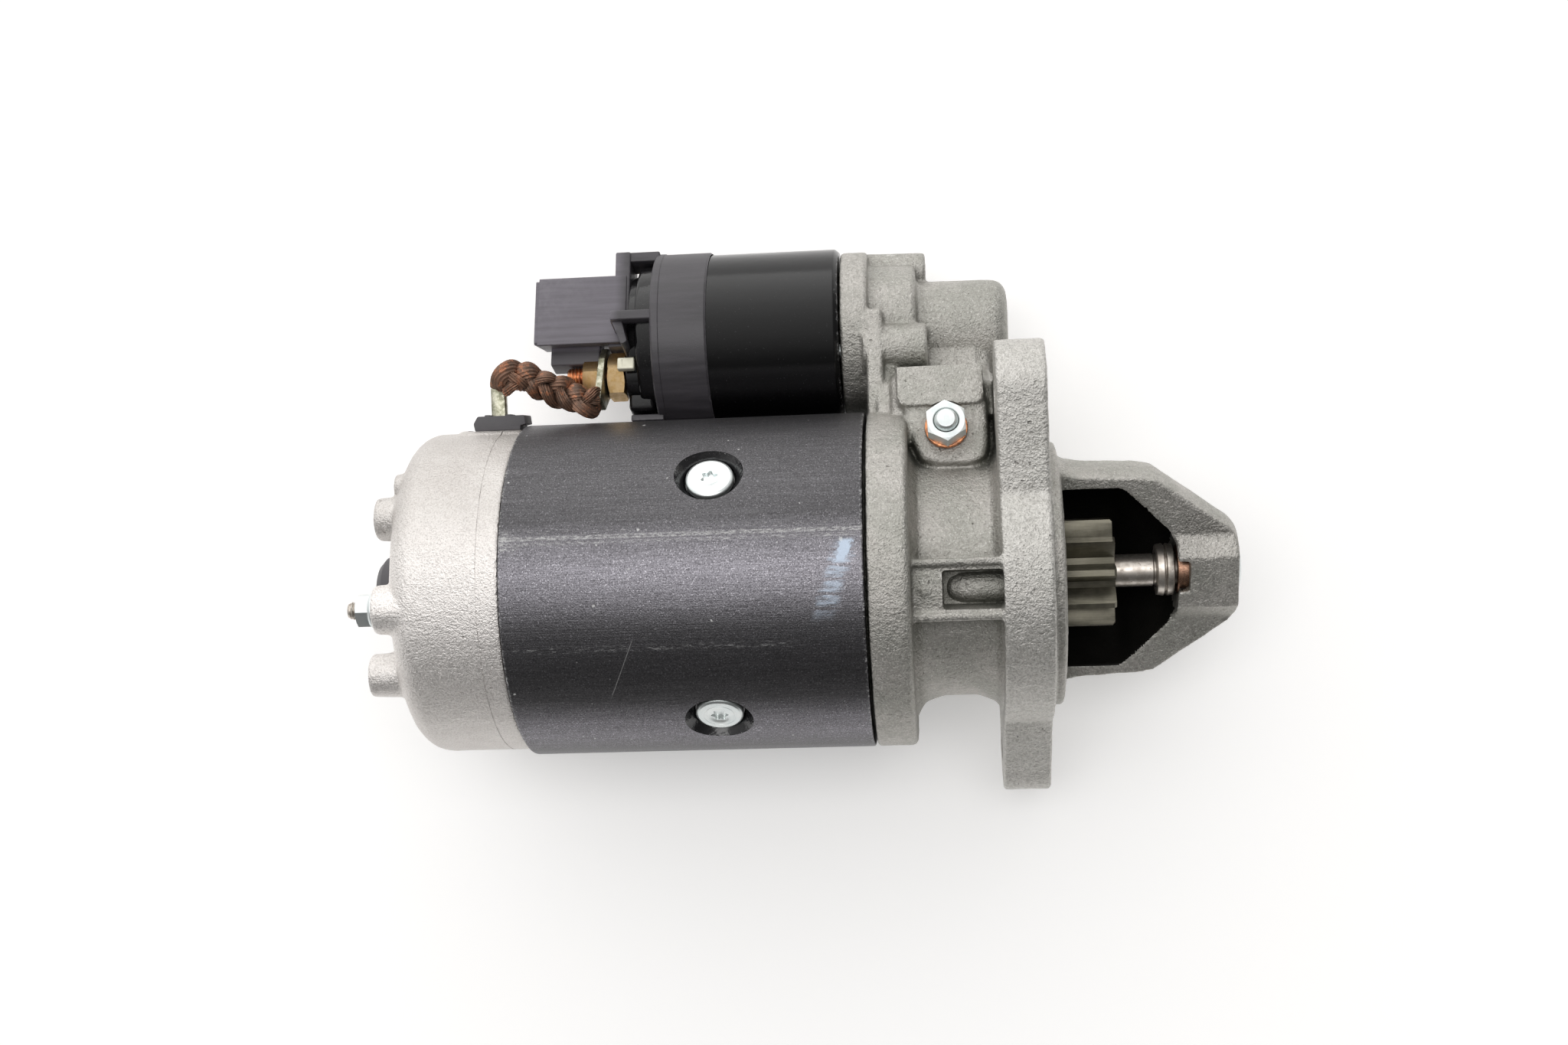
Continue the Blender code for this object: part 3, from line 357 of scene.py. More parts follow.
class Shader:
    """A short way to write a procedural material.

    Coordinates are the machine's own, in mm. `tone` is the base colour so far: base() starts it
    and tint() lays colours over it. In ramps a mask is 0 at `off` and 1 at `on`.
    """

    def __init__(self, name):
        self.material = bpy.data.materials.new(name)
        self.material.use_nodes = True
        self.tree = self.material.node_tree
        self.bsdf = self.tree.nodes["Principled BSDF"]
        self.tone = None
        coord = self.new("ShaderNodeTexCoord")
        place = self.new("ShaderNodeVectorMath", operation="ADD")
        self.link(coord.outputs["Object"], place.inputs[0])
        place.inputs[1].default_value = (NOSE_END * 0.001, 0, 0)
        spin = self.new("ShaderNodeVectorRotate", rotation_type="X_AXIS")
        spin.inputs["Angle"].default_value = TILT
        self.link(place.outputs[0], spin.inputs["Vector"])
        scale = self.new("ShaderNodeVectorMath", operation="SCALE")
        scale.inputs["Scale"].default_value = 1000.0
        self.link(spin.outputs[0], scale.inputs[0])
        self.place = scale.outputs[0]

    @cached_property
    def axes(self):
        """The coordinates as outputs "X", "Y" and "Z"."""
        split = self.new("ShaderNodeSeparateXYZ")
        self.link(self.place, split.inputs[0])
        return split.outputs

    def new(self, kind, **settings):
        node = self.tree.nodes.new(kind)
        for key, value in settings.items():
            setattr(node, key, value)
        return node

    def link(self, output, socket):
        self.tree.links.new(output, socket)

    def put(self, socket, value):
        if hasattr(value, "is_output"):
            self.link(value, socket)
        elif isinstance(value, tuple) and len(value) == 3 and socket.type == "RGBA":
            socket.default_value = (*value, 1.0)
        else:
            socket.default_value = value

    def noise(self, mm, detail=3.0, rough=0.55, stretch=(1, 1, 1), shift=0.0):
        """Noise whose features are about this many millimetres across, 0 to 1."""
        mapping = self.new("ShaderNodeMapping")
        mapping.inputs["Scale"].default_value = tuple(1.0 / (mm * s) for s in stretch)
        mapping.inputs["Location"].default_value = (shift, shift * 0.7, shift * 1.3)
        self.link(self.place, mapping.inputs["Vector"])
        node = self.new("ShaderNodeTexNoise")
        node.inputs["Scale"].default_value = 1.0
        node.inputs["Detail"].default_value = detail
        node.inputs["Roughness"].default_value = rough
        self.link(mapping.outputs[0], node.inputs["Vector"])
        return node.outputs["Fac"]

    def math(self, operation, first, second=0.0):
        node = self.new("ShaderNodeMath", operation=operation)
        for socket, value in zip(node.inputs, (first, second, 0.0)):
            self.put(socket, value)
        return node.outputs[0]

    def mul(self, product, *others):
        for other in others:
            product = self.math("MULTIPLY", product, other)
        return product

    def most(self, first, second):
        return self.math("MAXIMUM", first, second)

    def ramp(self, value, off, on, low=0.0, high=1.0, smooth=True):
        """From low where value is `off` to high where it is `on`."""
        node = self.new("ShaderNodeMapRange")
        node.interpolation_type = "SMOOTHSTEP" if smooth else "LINEAR"
        self.put(node.inputs["Value"], value)
        for key, bound in (("From Min", off), ("From Max", on), ("To Min", low),
                           ("To Max", high)):
            node.inputs[key].default_value = bound
        return node.outputs["Result"]

    def spread(self, value, low, high):
        """A noise stretched over low to high, mostly for roughness."""
        return self.ramp(value, off=0.2, on=0.8, low=low, high=high)

    def spots(self, off, on, **settings):
        """Mask from a noise with these settings."""
        return self.ramp(self.noise(**settings), off, on)

    def round_curve(self, angle, stops):
        """Value by angle about the shaft; stops are (degrees from 0 to 200, value)."""
        along = self.ramp(angle, off=0.0, on=200.0, smooth=False)
        node = self.new("ShaderNodeValToRGB")
        set_stops(node, [(at / 200.0, value) for at, value in stops])
        self.put(node.inputs["Fac"], along)
        return node.outputs["Color"]

    def mix(self, factor, low, high):
        node = self.new("ShaderNodeMix", data_type="RGBA")
        self.put(node.inputs["Factor"], factor)
        self.put(node.inputs[6], low)
        self.put(node.inputs[7], high)
        return node.outputs[2]

    def blend(self, factor, low, high):
        """The same for plain values."""
        node = self.new("ShaderNodeMix", data_type="FLOAT")
        self.put(node.inputs["Factor"], factor)
        self.put(node.inputs[2], low)
        self.put(node.inputs[3], high)
        return node.outputs[0]

    def base(self, factor, low, high):
        self.tone = self.mix(factor, low, high)

    def tint(self, mask, to, amount=None):
        if amount is not None:
            mask = self.mul(mask, amount)
        self.tone = self.mix(mask, self.tone, to)

    def from_line(self, centre):
        """The y and z distances from a line along X."""
        return (self.math("SUBTRACT", self.axes["Y"], centre[0]),
                self.math("SUBTRACT", self.axes["Z"], centre[1]))

    def angle(self):
        """Degrees about the shaft."""
        y, z = self.from_line((0.0, 0.0))
        return self.mul(self.math("ARCTAN2", z, y), 57.29578)

    def radius(self, centre=(0.0, 0.0)):
        y, z = self.from_line(centre)
        return self.math("SQRT", self.math("ADD", self.mul(y, y), self.mul(z, z)))

    def near(self, value, at, half, soft):
        """1 where value is within half of `at`, falling to 0 over soft."""
        away = self.math("ABSOLUTE", self.math("SUBTRACT", value, at))
        return self.ramp(away, off=half + soft, on=half)

    def edges(self, off, on):
        """1 on convex edges."""
        geometry = self.new("ShaderNodeNewGeometry")
        return self.ramp(geometry.outputs["Pointiness"], off, on)

    def hollows(self, mm, off, on):
        """Mask for painted shade: 1 in corners and grooves, 0 in the open; looks this many
        millimetres around.
        """
        occlusion = self.new("ShaderNodeAmbientOcclusion", samples=6)
        occlusion.inputs["Distance"].default_value = mm * 0.001
        return self.ramp(occlusion.outputs["AO"], off, on)

    def bump(self, *layers):
        """Bump from (height, millimetres) layers."""
        normal = None
        for height, depth in layers:
            node = self.new("ShaderNodeBump")
            node.inputs["Strength"].default_value = 1.0
            node.inputs["Distance"].default_value = depth * 0.001
            self.put(node.inputs["Height"], height)
            if normal is not None:
                self.link(normal, node.inputs["Normal"])
            normal = node.outputs["Normal"]
        self.link(normal, self.bsdf.inputs["Normal"])

    def finish(self, rough, metal=0.0, specular=None):
        self.put(self.bsdf.inputs["Base Color"], self.tone)
        self.put(self.bsdf.inputs["Roughness"], rough)
        self.put(self.bsdf.inputs["Metallic"], metal)
        if specular is not None:
            self.put(self.bsdf.inputs["Specular IOR Level"], specular)


MATERIALS = {}


def material(build):
    """Makes the material that the function describes, under the function's name."""
    mat = Shader(build.__name__)
    build(mat)
    MATERIALS[build.__name__] = mat.material
    return build


@material
def cast_aluminium(mat):
    grain = mat.noise(mm=0.62, detail=2.5, rough=0.6)
    coarse = mat.noise(mm=1.5, rough=0.6, shift=3.1)
    cloud = mat.noise(mm=17.0, detail=4.0, rough=0.6, shift=8.0)
    pits = mat.spots(off=0.71, on=0.77, mm=2.4, detail=2.0, rough=0.5, shift=21.0)
    mat.base(mat.ramp(cloud, off=0.32, on=0.68), low=(0.44, 0.435, 0.4), high=(0.56, 0.54, 0.51))
    # the flange's rim is brighter
    rim = mat.mul(mat.near(mat.axes["X"], at=-8.0, half=8.4, soft=1.0),
                  mat.ramp(mat.radius(), off=43.0, on=45.5),
                  mat.ramp(mat.radius(SOLENOID), off=19.0, on=20.5))
    mat.tint(rim, to=(0.80, 0.785, 0.755), amount=0.55)
    mat.tint(mat.ramp(grain, off=0.60, on=0.30), to=(0.18, 0.175, 0.155), amount=0.42)
    mat.tint(mat.ramp(coarse, off=0.56, on=0.34), to=(0.20, 0.19, 0.17), amount=0.25)
    glint = mat.spots(off=0.60, on=0.70, mm=0.55, detail=1.0, rough=0.5, shift=31.0)
    mat.tint(glint, to=(0.88, 0.87, 0.84), amount=0.35)
    # painted shade: corners and grooves darkened over a broad reach, as beside the neck
    mat.tint(mat.hollows(mm=8.0, off=0.92, on=0.15), to=(0.075, 0.078, 0.060), amount=0.72)
    wear_and_sheen = mat.mul(mat.edges(off=0.525, on=0.58), mat.ramp(coarse, off=0.34, on=0.60))
    mat.tint(wear_and_sheen, to=(0.84, 0.83, 0.80), amount=0.55)
    mat.tint(pits, to=(0.06, 0.055, 0.045), amount=0.55)
    mat.bump((grain, 0.34), (coarse, 0.46), (pits, -0.14))
    mat.finish(rough=mat.blend(wear_and_sheen, low=mat.spread(grain, low=0.44, high=0.60), high=0.36),
               metal=0.95)


@material
def inner_casting(mat):
    """Inside of the neck and nose, painted nearly black as shade."""
    grain = mat.noise(mm=0.8, detail=2.5, rough=0.6)
    cloud = mat.noise(mm=9.0, detail=4.0, rough=0.6, shift=8.0)
    mat.base(cloud, low=(0.004, 0.004, 0.003), high=(0.016, 0.015, 0.013))
    mat.bump((grain, 0.2))
    mat.finish(rough=0.6, metal=0.2, specular=0.2)


@material
def machined_aluminium(mat):
    """Flatter metal with fine parallel cutter marks."""
    lines = mat.noise(mm=0.28, detail=2.0, rough=0.5, stretch=(60.0, 1.0, 1.0))
    cloud = mat.noise(mm=9.0, rough=0.6)
    mat.base(cloud, low=(0.36, 0.34, 0.33), high=(0.52, 0.50, 0.48))
    mat.tint(mat.ramp(lines, off=0.3, on=0.7), to=(0.20, 0.18, 0.17), amount=0.35)
    mat.bump((lines, 0.05), (mat.noise(mm=0.6, detail=2.0), 0.04))
    mat.finish(rough=mat.spread(cloud, low=0.30, high=0.44), metal=0.9)


@material
def blasted_aluminium(mat):
    grain = mat.noise(mm=0.55, detail=2.0, rough=0.6)
    fine = mat.noise(mm=0.30, detail=1.0, rough=0.5, shift=4.0)
    cloud = mat.noise(mm=22.0, detail=4.0, rough=0.6, shift=2.0)
    # painted light: the cover is lighter in a band round the shaft, brightest at about 116
    # degrees, darker towards +Y
    painted_light_band = mat.round_curve(mat.angle(), stops=(
        (0.0, 0.25), (40.0, 0.10), (76.0, 0.12), (96.0, 0.75), (116.0, 1.0), (134.0, 0.80),
        (150.0, 0.45), (178.0, 0.25)))
    mat.base(mat.ramp(cloud, off=0.3, on=0.7), low=(0.6, 0.57, 0.545), high=(0.69, 0.665, 0.64))
    mat.tint(painted_light_band, to=(0.965, 0.930, 0.905))
    mat.tint(mat.ramp(grain, off=0.58, on=0.34), to=(0.36, 0.325, 0.300), amount=0.40)
    mat.tint(mat.ramp(fine, off=0.60, on=0.74), to=(0.98, 0.97, 0.96), amount=0.45)
    # painted shade in corners and grooves
    mat.tint(mat.hollows(mm=4.0, off=0.75, on=0.15), to=(0.20, 0.175, 0.155), amount=0.55)
    specks = mat.spots(off=0.76, on=0.80, mm=1.5, detail=1.0, rough=0.4, shift=11.0)
    mat.tint(specks, to=(0.20, 0.17, 0.15), amount=0.6)
    lumps = mat.noise(mm=1.1, detail=2.0, rough=0.6, shift=37.0)
    mat.bump((grain, 0.26), (lumps, 0.26), (fine, 0.06))
    mat.finish(rough=mat.spread(grain, low=0.42, high=0.58), metal=0.94)


def bare_patches(mat, angle):
    """Where the yoke's paint is gone."""
    # two grainy seam lines, the one towards -Y fainter, and a haze on the +Y side
    patch = mat.spots(off=0.43, on=0.62, mm=0.8, detail=5.0, rough=0.85,
                      stretch=(2.4, 0.8, 0.8), shift=3.0)
    seam = mat.mul(mat.near(angle, at=89.8, half=0.46, soft=0.45), patch)
    patch = mat.spots(off=0.47, on=0.64, mm=0.8, detail=5.0, rough=0.85,
                      stretch=(2.4, 0.7, 0.7), shift=13.0)
    faint_seam = mat.mul(mat.near(angle, at=91.6, half=0.30, soft=0.5), patch)
    haze = mat.mul(mat.near(angle, at=88.2, half=0.5, soft=1.8),
                   mat.spots(off=0.54, on=0.68, mm=0.9, detail=4.0, rough=0.8,
                             stretch=(2.0, 0.8, 0.8), shift=23.0))
    # a third line well to the -Y side
    low_line = mat.mul(mat.near(angle, at=126.4, half=0.5, soft=1.1),
                       mat.spots(off=0.52, on=0.66, mm=0.9, detail=4.0, rough=0.8,
                                 stretch=(3.0, 0.8, 0.8), shift=33.0),
                       mat.ramp(mat.axes["X"], off=-76.0, on=-88.0))
    # chipped ends, and the seam worn wider at the -X end
    ends = mat.most(mat.ramp(mat.axes["X"], off=-175.2, on=-176.2),
                    mat.ramp(mat.axes["X"], off=-61.0, on=-59.9))
    chipped = mat.mul(ends, mat.spots(off=0.50, on=0.62, mm=1.1, detail=4.0, rough=0.75,
                                      shift=44.0))
    wide = mat.mul(mat.near(angle, at=91.0, half=1.6, soft=3.2),
                   mat.spots(off=0.46, on=0.62, mm=1.2, detail=4.0, rough=0.8,
                             stretch=(2.0, 0.8, 0.8), shift=50.0))
    wide = mat.mul(mat.ramp(mat.axes["X"], off=-168.0, on=-176.0), wide)
    # a slanting hairline scratch
    slant = mat.math("ADD", mat.axes["X"], mat.mul(angle, 0.42))
    hair = mat.mul(mat.near(slant, at=-82.0, half=0.05, soft=0.16),
                   mat.near(angle, at=134.0, half=8.0, soft=4.0))
    bare = mat.most(mat.most(seam, mat.mul(faint_seam, 0.7)),
                    mat.most(mat.mul(mat.most(low_line, haze), 0.5), mat.most(chipped, wide)))
    bare = mat.most(bare, mat.mul(hair, 0.5))
    nicks = mat.spots(off=0.765, on=0.79, mm=2.6, detail=1.5, rough=0.4, shift=71.0)
    return mat.most(bare, nicks)


def paint_smear(mat, angle):
    """Pale paint near the yoke's +X end, dragged towards -Y and -X."""
    drag = mat.mul(mat.math("SUBTRACT", angle, 95.0), 0.33)
    run = mat.math("ADD", mat.axes["X"], mat.math("ADD", drag, 65.4))
    ragged = mat.mul(mat.math("SUBTRACT", mat.noise(mm=2.0, rough=0.7, shift=61.0), 0.5), 5.0)
    run = mat.math("ADD", run, ragged)
    streak = mat.spots(off=0.36, on=0.58, mm=1.1, detail=4.0, rough=0.75,
                       stretch=(5.0, 0.8, 0.8), shift=63.0)
    wavy = mat.mul(mat.math("ADD", angle, mat.mul(ragged, 0.3)), 1.35)
    gaps = mat.ramp(mat.math("SINE", wavy), off=-0.95, on=-0.60)
    blob = mat.mul(mat.near(run, at=0.0, half=1.3, soft=1.2),
                   mat.near(angle, at=97.0, half=2.8, soft=1.6))
    tail = mat.mul(mat.near(run, at=0.0, half=2.0, soft=2.6),
                   mat.near(angle, at=106.0, half=5.5, soft=10.0))
    tail = mat.mul(mat.mul(tail, streak), mat.mul(gaps, 0.50))
    return mat.most(mat.mul(blob, 0.9), tail)


@material
def black_painted_steel(mat):
    """Thin satin black over rolled steel, with painted sheen: lighter graphite grey in bands
    round the shaft.
    """
    grain = mat.noise(mm=0.50, detail=2.0, rough=0.65)
    brush = mat.noise(mm=0.30, detail=2.0, rough=0.6, stretch=(55.0, 1.0, 1.0), shift=5.0)
    band = mat.noise(mm=2.2, rough=0.6, stretch=(24.0, 1.0, 1.0), shift=9.0)
    angle = mat.angle()
    # painted sheen and reflection: lighter graphite grey in two bands round the shaft, at about
    # 90 to 120 and 150 to 175 degrees
    wear_and_sheen = mat.round_curve(angle, stops=(
        (0.0, 0.12), (84.0, 0.05), (90.0, 0.45), (101.0, 1.0), (110.0, 0.70), (120.0, 0.15),
        (146.0, 0.02), (157.0, 0.7), (166.0, 0.8), (178.0, 0.12)))
    mat.base(mat.ramp(brush, off=0.32, on=0.70),
             low=(0.088, 0.086, 0.089), high=(0.114, 0.112, 0.116))
    painted_sheen_tone = mat.mix(mat.ramp(brush, off=0.32, on=0.70),
                   low=(0.200, 0.192, 0.212), high=(0.300, 0.290, 0.320))
    mat.tint(wear_and_sheen, to=painted_sheen_tone)
    mat.tint(mat.ramp(band, off=0.50, on=0.74), to=(0.27, 0.265, 0.28), amount=0.12)
    mat.tint(mat.ramp(grain, off=0.56, on=0.34), to=(0.040, 0.038, 0.042), amount=0.60)
    # the sparkle is strongest in the painted sheen bands
    sparkle = mat.spots(off=0.60, on=0.70, mm=0.46, detail=1.0, rough=0.5, shift=17.0)
    strength = mat.math("ADD", mat.mul(wear_and_sheen, 0.45), 0.15)
    mat.tint(mat.mul(sparkle, strength), to=(0.66, 0.64, 0.69))
    bare = bare_patches(mat, angle)
    smear = paint_smear(mat, angle)
    mat.tint(bare, to=(0.70, 0.70, 0.69), amount=0.62)
    mat.tint(smear, to=(0.62, 0.74, 0.90), amount=0.9)
    # painted shade in corners and grooves
    mat.tint(mat.hollows(mm=4.0, off=0.75, on=0.15), to=(0.010, 0.010, 0.010), amount=0.7)
    mat.bump((grain, 0.11), (brush, 0.05), (bare, 0.02), (smear, 0.06))
    painted = mat.math("SUBTRACT", 1.0, mat.most(bare, smear))
    mat.finish(rough=0.42, metal=mat.mul(painted, 0.92))


@material
def pooled_black_paint(mat):
    """Glossy thick paint in the pole screws' recesses."""
    chip = mat.spots(off=0.62, on=0.68, mm=0.9, rough=0.7, shift=5.0)
    mat.base(mat.noise(mm=2.0), low=(0.006, 0.006, 0.007), high=(0.014, 0.013, 0.015))
    mat.tint(mat.mul(mat.ramp(mat.radius(), off=56.0, on=56.9), chip), to=(0.7, 0.7, 0.68))
    mat.bump((mat.noise(mm=1.5, detail=2.0), 0.12))
    mat.finish(rough=0.16, specular=0.7)


MATERIALS["pooled_black_paint"].name = "pooled_black_paint"


@material
def gloss_black_steel(mat):
    peel = mat.noise(mm=3.2, detail=1.5, rough=0.4)
    mist = mat.noise(mm=24.0, rough=0.6, stretch=(2.0, 1, 1), shift=6.0)
    dust = mat.spots(off=0.735, on=0.76, mm=0.7, detail=1.0, rough=0.4, shift=18.0)
    mat.base(mist, low=(0.0022, 0.0022, 0.0026), high=(0.0045, 0.0044, 0.0050))
    mat.tint(dust, to=(0.12, 0.12, 0.13), amount=0.25)
    rim = mat.most(mat.ramp(mat.axes["X"], off=-68.9, on=-68.3), mat.edges(off=0.55, on=0.62))
    rim = mat.mul(rim, mat.spots(off=0.50, on=0.62, mm=1.6, detail=4.0, rough=0.7, shift=27.0))
    mat.tint(rim, to=(0.35, 0.35, 0.35), amount=0.5)
    mat.bump((peel, 0.035))
    mat.finish(rough=mat.spread(mist, low=0.13, high=0.22), specular=0.45)


@material
def black_plastic(mat):
    grain = mat.noise(mm=0.36, detail=2.0, rough=0.6)
    flow = mat.noise(mm=3.0, rough=0.6, stretch=(8.0, 1.0, 1.0), shift=4.0)
    # the plug body is duller and greyer than the clamp ring
    bands = mat.noise(mm=1.6, rough=0.6, stretch=(18.0, 1.0, 1.0), shift=66.0)
    faded = mat.mul(mat.ramp(mat.axes["X"], off=-143.0, on=-148.0),
                    mat.ramp(bands, off=0.20, on=0.70, low=0.55),
                    mat.ramp(mat.axes["Y"], off=83.2, on=84.6, low=0.05))
    mat.base(mat.ramp(flow, off=0.30, on=0.70),
             low=(0.0380, 0.0350, 0.0400), high=(0.0620, 0.0570, 0.0650))
    mat.tint(faded, to=(0.150, 0.138, 0.163))
    mat.tint(mat.ramp(grain, off=0.60, on=0.74), to=(0.095, 0.09, 0.10), amount=0.35)
    rub = mat.mul(mat.edges(off=0.535, on=0.60), mat.spots(off=0.40, on=0.62, mm=2.0, shift=9.0))
    mat.tint(rub, to=(0.20, 0.19, 0.21), amount=0.40)
    scratch = mat.spots(off=0.70, on=0.74, mm=0.5, rough=0.7, stretch=(9.0, 0.7, 2.0), shift=40.0)
    mat.tint(scratch, to=(0.22, 0.22, 0.24), amount=0.30)
    mat.bump((grain, 0.045), (flow, 0.03))
    mat.finish(rough=mat.spread(flow, low=0.40, high=0.52), specular=0.62)


@material
def black_bakelite(mat):
    flow = mat.noise(mm=5.0, rough=0.6)
    mat.base(flow, low=(0.0045, 0.0045, 0.0050), high=(0.0120, 0.0115, 0.0125))
    dust = mat.spots(off=0.66, on=0.72, mm=0.8, detail=2.0, rough=0.5, shift=9.0)
    mat.tint(dust, to=(0.12, 0.115, 0.11), amount=0.3)
    mat.bump((mat.noise(mm=1.8, detail=2.0), 0.05), (flow, 0.08))
    mat.finish(rough=mat.spread(flow, low=0.10, high=0.20), specular=0.5)


@material
def black_rubber(mat):
    grain = mat.noise(mm=0.5, detail=2.0, rough=0.6)
    cloud = mat.noise(mm=6.0, rough=0.6, shift=3.0)
    mat.base(cloud, low=(0.050, 0.048, 0.052), high=(0.105, 0.100, 0.108))
    rub = mat.mul(mat.edges(off=0.53, on=0.60), mat.ramp(grain, off=0.4, on=0.6))
    mat.tint(rub, to=(0.20, 0.19, 0.20), amount=0.35)
    mat.bump((grain, 0.05))
    mat.finish(rough=mat.spread(cloud, low=0.46, high=0.62))


@material
def zinc_plated_steel(mat):
    cloud = mat.noise(mm=5.0, rough=0.5)
    lines = mat.noise(mm=0.30, detail=1.0, rough=0.5, stretch=(1.0, 8.0, 1.0), shift=5.0)
    mat.base(mat.ramp(cloud, off=0.3, on=0.7), low=(0.74, 0.79, 0.79), high=(0.86, 0.89, 0.88))
    mat.tint(mat.ramp(lines, off=0.40, on=0.75), to=(0.55, 0.58, 0.58), amount=0.12)
    # painted shade in corners and grooves
    mat.tint(mat.hollows(mm=1.2, off=0.6, on=0.05), to=(0.16, 0.18, 0.17), amount=0.6)
    mat.bump((cloud, 0.02))
    mat.finish(rough=mat.spread(cloud, low=0.30, high=0.38), metal=0.85)


@material
def ground_steel(mat):
    light, dark = (0.72, 0.67, 0.61), (0.20, 0.155, 0.12)
    rings = mat.noise(mm=0.30, detail=2.0, rough=0.6, stretch=(1.0, 40.0, 40.0))
    cloud = mat.noise(mm=3.2, detail=4.0, rough=0.60, shift=4.0)
    speck = mat.spots(off=0.62, on=0.70, mm=1.2, rough=0.7, shift=14.0)
    mat.base(mat.ramp(cloud, off=0.35, on=0.70), low=light, high=mat.mix(0.5, light, dark))
    mat.tint(speck, to=dark, amount=0.55)
    # painted shade in corners and grooves
    mat.tint(mat.hollows(mm=2.5, off=0.8, on=0.1), to=(0.03, 0.025, 0.02), amount=0.7)
    mat.bump((rings, 0.012), (speck, -0.03))
    mat.finish(rough=mat.spread(cloud, low=0.32, high=0.44), metal=0.95)


@material
def oiled_steel(mat):
    """Gear steel: grey-brown, oily, with lengthwise cutter marks."""
    lines = mat.noise(mm=0.20, detail=2.0, rough=0.6, stretch=(40.0, 1.0, 1.0))
    cloud = mat.noise(mm=4.0, detail=4.0, rough=0.6, shift=7.0)
    mat.base(mat.ramp(cloud, off=0.3, on=0.7),
             low=(0.165, 0.155, 0.120), high=(0.235, 0.220, 0.175))
    mat.tint(mat.ramp(lines, off=0.35, on=0.7), to=(0.09, 0.085, 0.062), amount=0.35)
    # painted shade in corners and between the teeth
    mat.tint(mat.hollows(mm=3.0, off=0.75, on=0.1), to=(0.02, 0.018, 0.012), amount=0.75)
    mat.bump((lines, 0.02), (cloud, 0.03))
    mat.finish(rough=mat.spread(cloud, low=0.36, high=0.48), metal=0.85)


@material
def electrical_steel(mat):
    sheets = mat.noise(mm=0.5, detail=1.0, rough=0.3, stretch=(1.0, 60.0, 60.0))
    cloud = mat.noise(mm=6.0, rough=0.6, shift=4.0)
    mat.base(cloud, low=(0.22, 0.22, 0.23), high=(0.36, 0.36, 0.37))
    mat.tint(mat.ramp(sheets, off=0.4, on=0.65), to=(0.10, 0.10, 0.10), amount=0.6)
    mat.bump((sheets, 0.08))
    mat.finish(rough=0.45, metal=0.95)


@material
def copper(mat):
    cloud = mat.noise(mm=1.6, detail=4.0, rough=0.65)
    mat.base(mat.ramp(cloud, off=0.36, on=0.66), low=(0.86, 0.36, 0.17), high=(0.36, 0.17, 0.10))
    # painted shade in corners and grooves
    mat.tint(mat.hollows(mm=1.2, off=0.7, on=0.1), to=(0.06, 0.03, 0.02), amount=0.5)
    mat.bump((cloud, 0.03))
    mat.finish(rough=mat.spread(cloud, low=0.26, high=0.42), metal=1.0)


@material
def oxidised_copper(mat):
    """Brown strands with bright copper where they rub, and painted highlights on their edges."""
    wire = mat.noise(mm=0.30, detail=2.0, rough=0.6)
    patch = mat.noise(mm=4.0, rough=0.6, shift=6.0)
    mat.base(mat.ramp(patch, off=0.36, on=0.62),
             low=(0.150, 0.098, 0.072), high=(0.270, 0.150, 0.100))
    mat.tint(mat.ramp(wire, off=0.42, on=0.70), to=(0.050, 0.032, 0.026), amount=0.55)
    warm = mat.mul(mat.spots(off=0.52, on=0.64, mm=3.4, rough=0.6, shift=16.0),
                   mat.ramp(wire, off=0.66, on=0.40))
    mat.tint(warm, to=(0.60, 0.240, 0.120), amount=0.85)
    # painted highlight along the strands' convex edges
    glint = mat.mul(mat.edges(off=0.52, on=0.58), mat.ramp(wire, off=0.40, on=0.60))
    mat.tint(glint, to=(0.62, 0.33, 0.20), amount=0.35)
    # dark between the strands: partly oxide, partly painted shade
    mat.tint(mat.hollows(mm=1.6, off=0.80, on=0.05), to=(0.016, 0.010, 0.008), amount=0.88)
    mat.bump((wire, 0.07))
    mat.finish(rough=0.48, metal=0.55)


@material
def brass(mat):
    cloud = mat.noise(mm=2.0, detail=4.0, rough=0.6)
    lines = mat.noise(mm=0.2, detail=2.0, rough=0.5, stretch=(1.0, 12.0, 12.0), shift=3.0)
    mat.base(mat.ramp(cloud, off=0.34, on=0.70), low=(0.93, 0.68, 0.38), high=(0.72, 0.47, 0.19))
    mat.tint(mat.ramp(lines, off=0.45, on=0.75), to=(0.40, 0.26, 0.10), amount=0.12)
    # painted shade in corners and grooves
    mat.tint(mat.hollows(mm=1.4, off=0.6, on=0.1), to=(0.14, 0.08, 0.03), amount=0.5)
    mat.bump((cloud, 0.02))
    mat.finish(rough=mat.spread(cloud, low=0.28, high=0.38), metal=1.0)


@material
def sintered_bronze(mat):
    pores = mat.noise(mm=0.35, detail=2.0, rough=0.6)
    mat.base(mat.ramp(pores, off=0.35, on=0.65), low=(0.24, 0.13, 0.09), high=(0.48, 0.29, 0.20))
    mat.bump((pores, 0.05))
    mat.finish(rough=0.38, metal=1.0)


@material
def copper_graphite(mat):
    grain = mat.noise(mm=0.3, detail=2.0, rough=0.6)
    mat.base(mat.ramp(grain, off=0.45, on=0.70), low=(0.035, 0.03, 0.028), high=(0.26, 0.15, 0.1))
    mat.bump((grain, 0.05))
    mat.finish(rough=0.5, metal=0.35)


@material
def enamelled_copper(mat):
    turns = mat.noise(mm=0.5, detail=1.0, rough=0.4, stretch=(30.0, 1.0, 1.0))
    cloud = mat.noise(mm=5.0, rough=0.6, shift=4.0)
    mat.base(cloud, low=(0.40, 0.13, 0.06), high=(0.60, 0.22, 0.10))
    mat.tint(mat.ramp(turns, off=0.35, on=0.65), to=(0.16, 0.05, 0.03), amount=0.6)
    mat.bump((turns, 0.25))
    mat.finish(rough=0.30, metal=0.75)


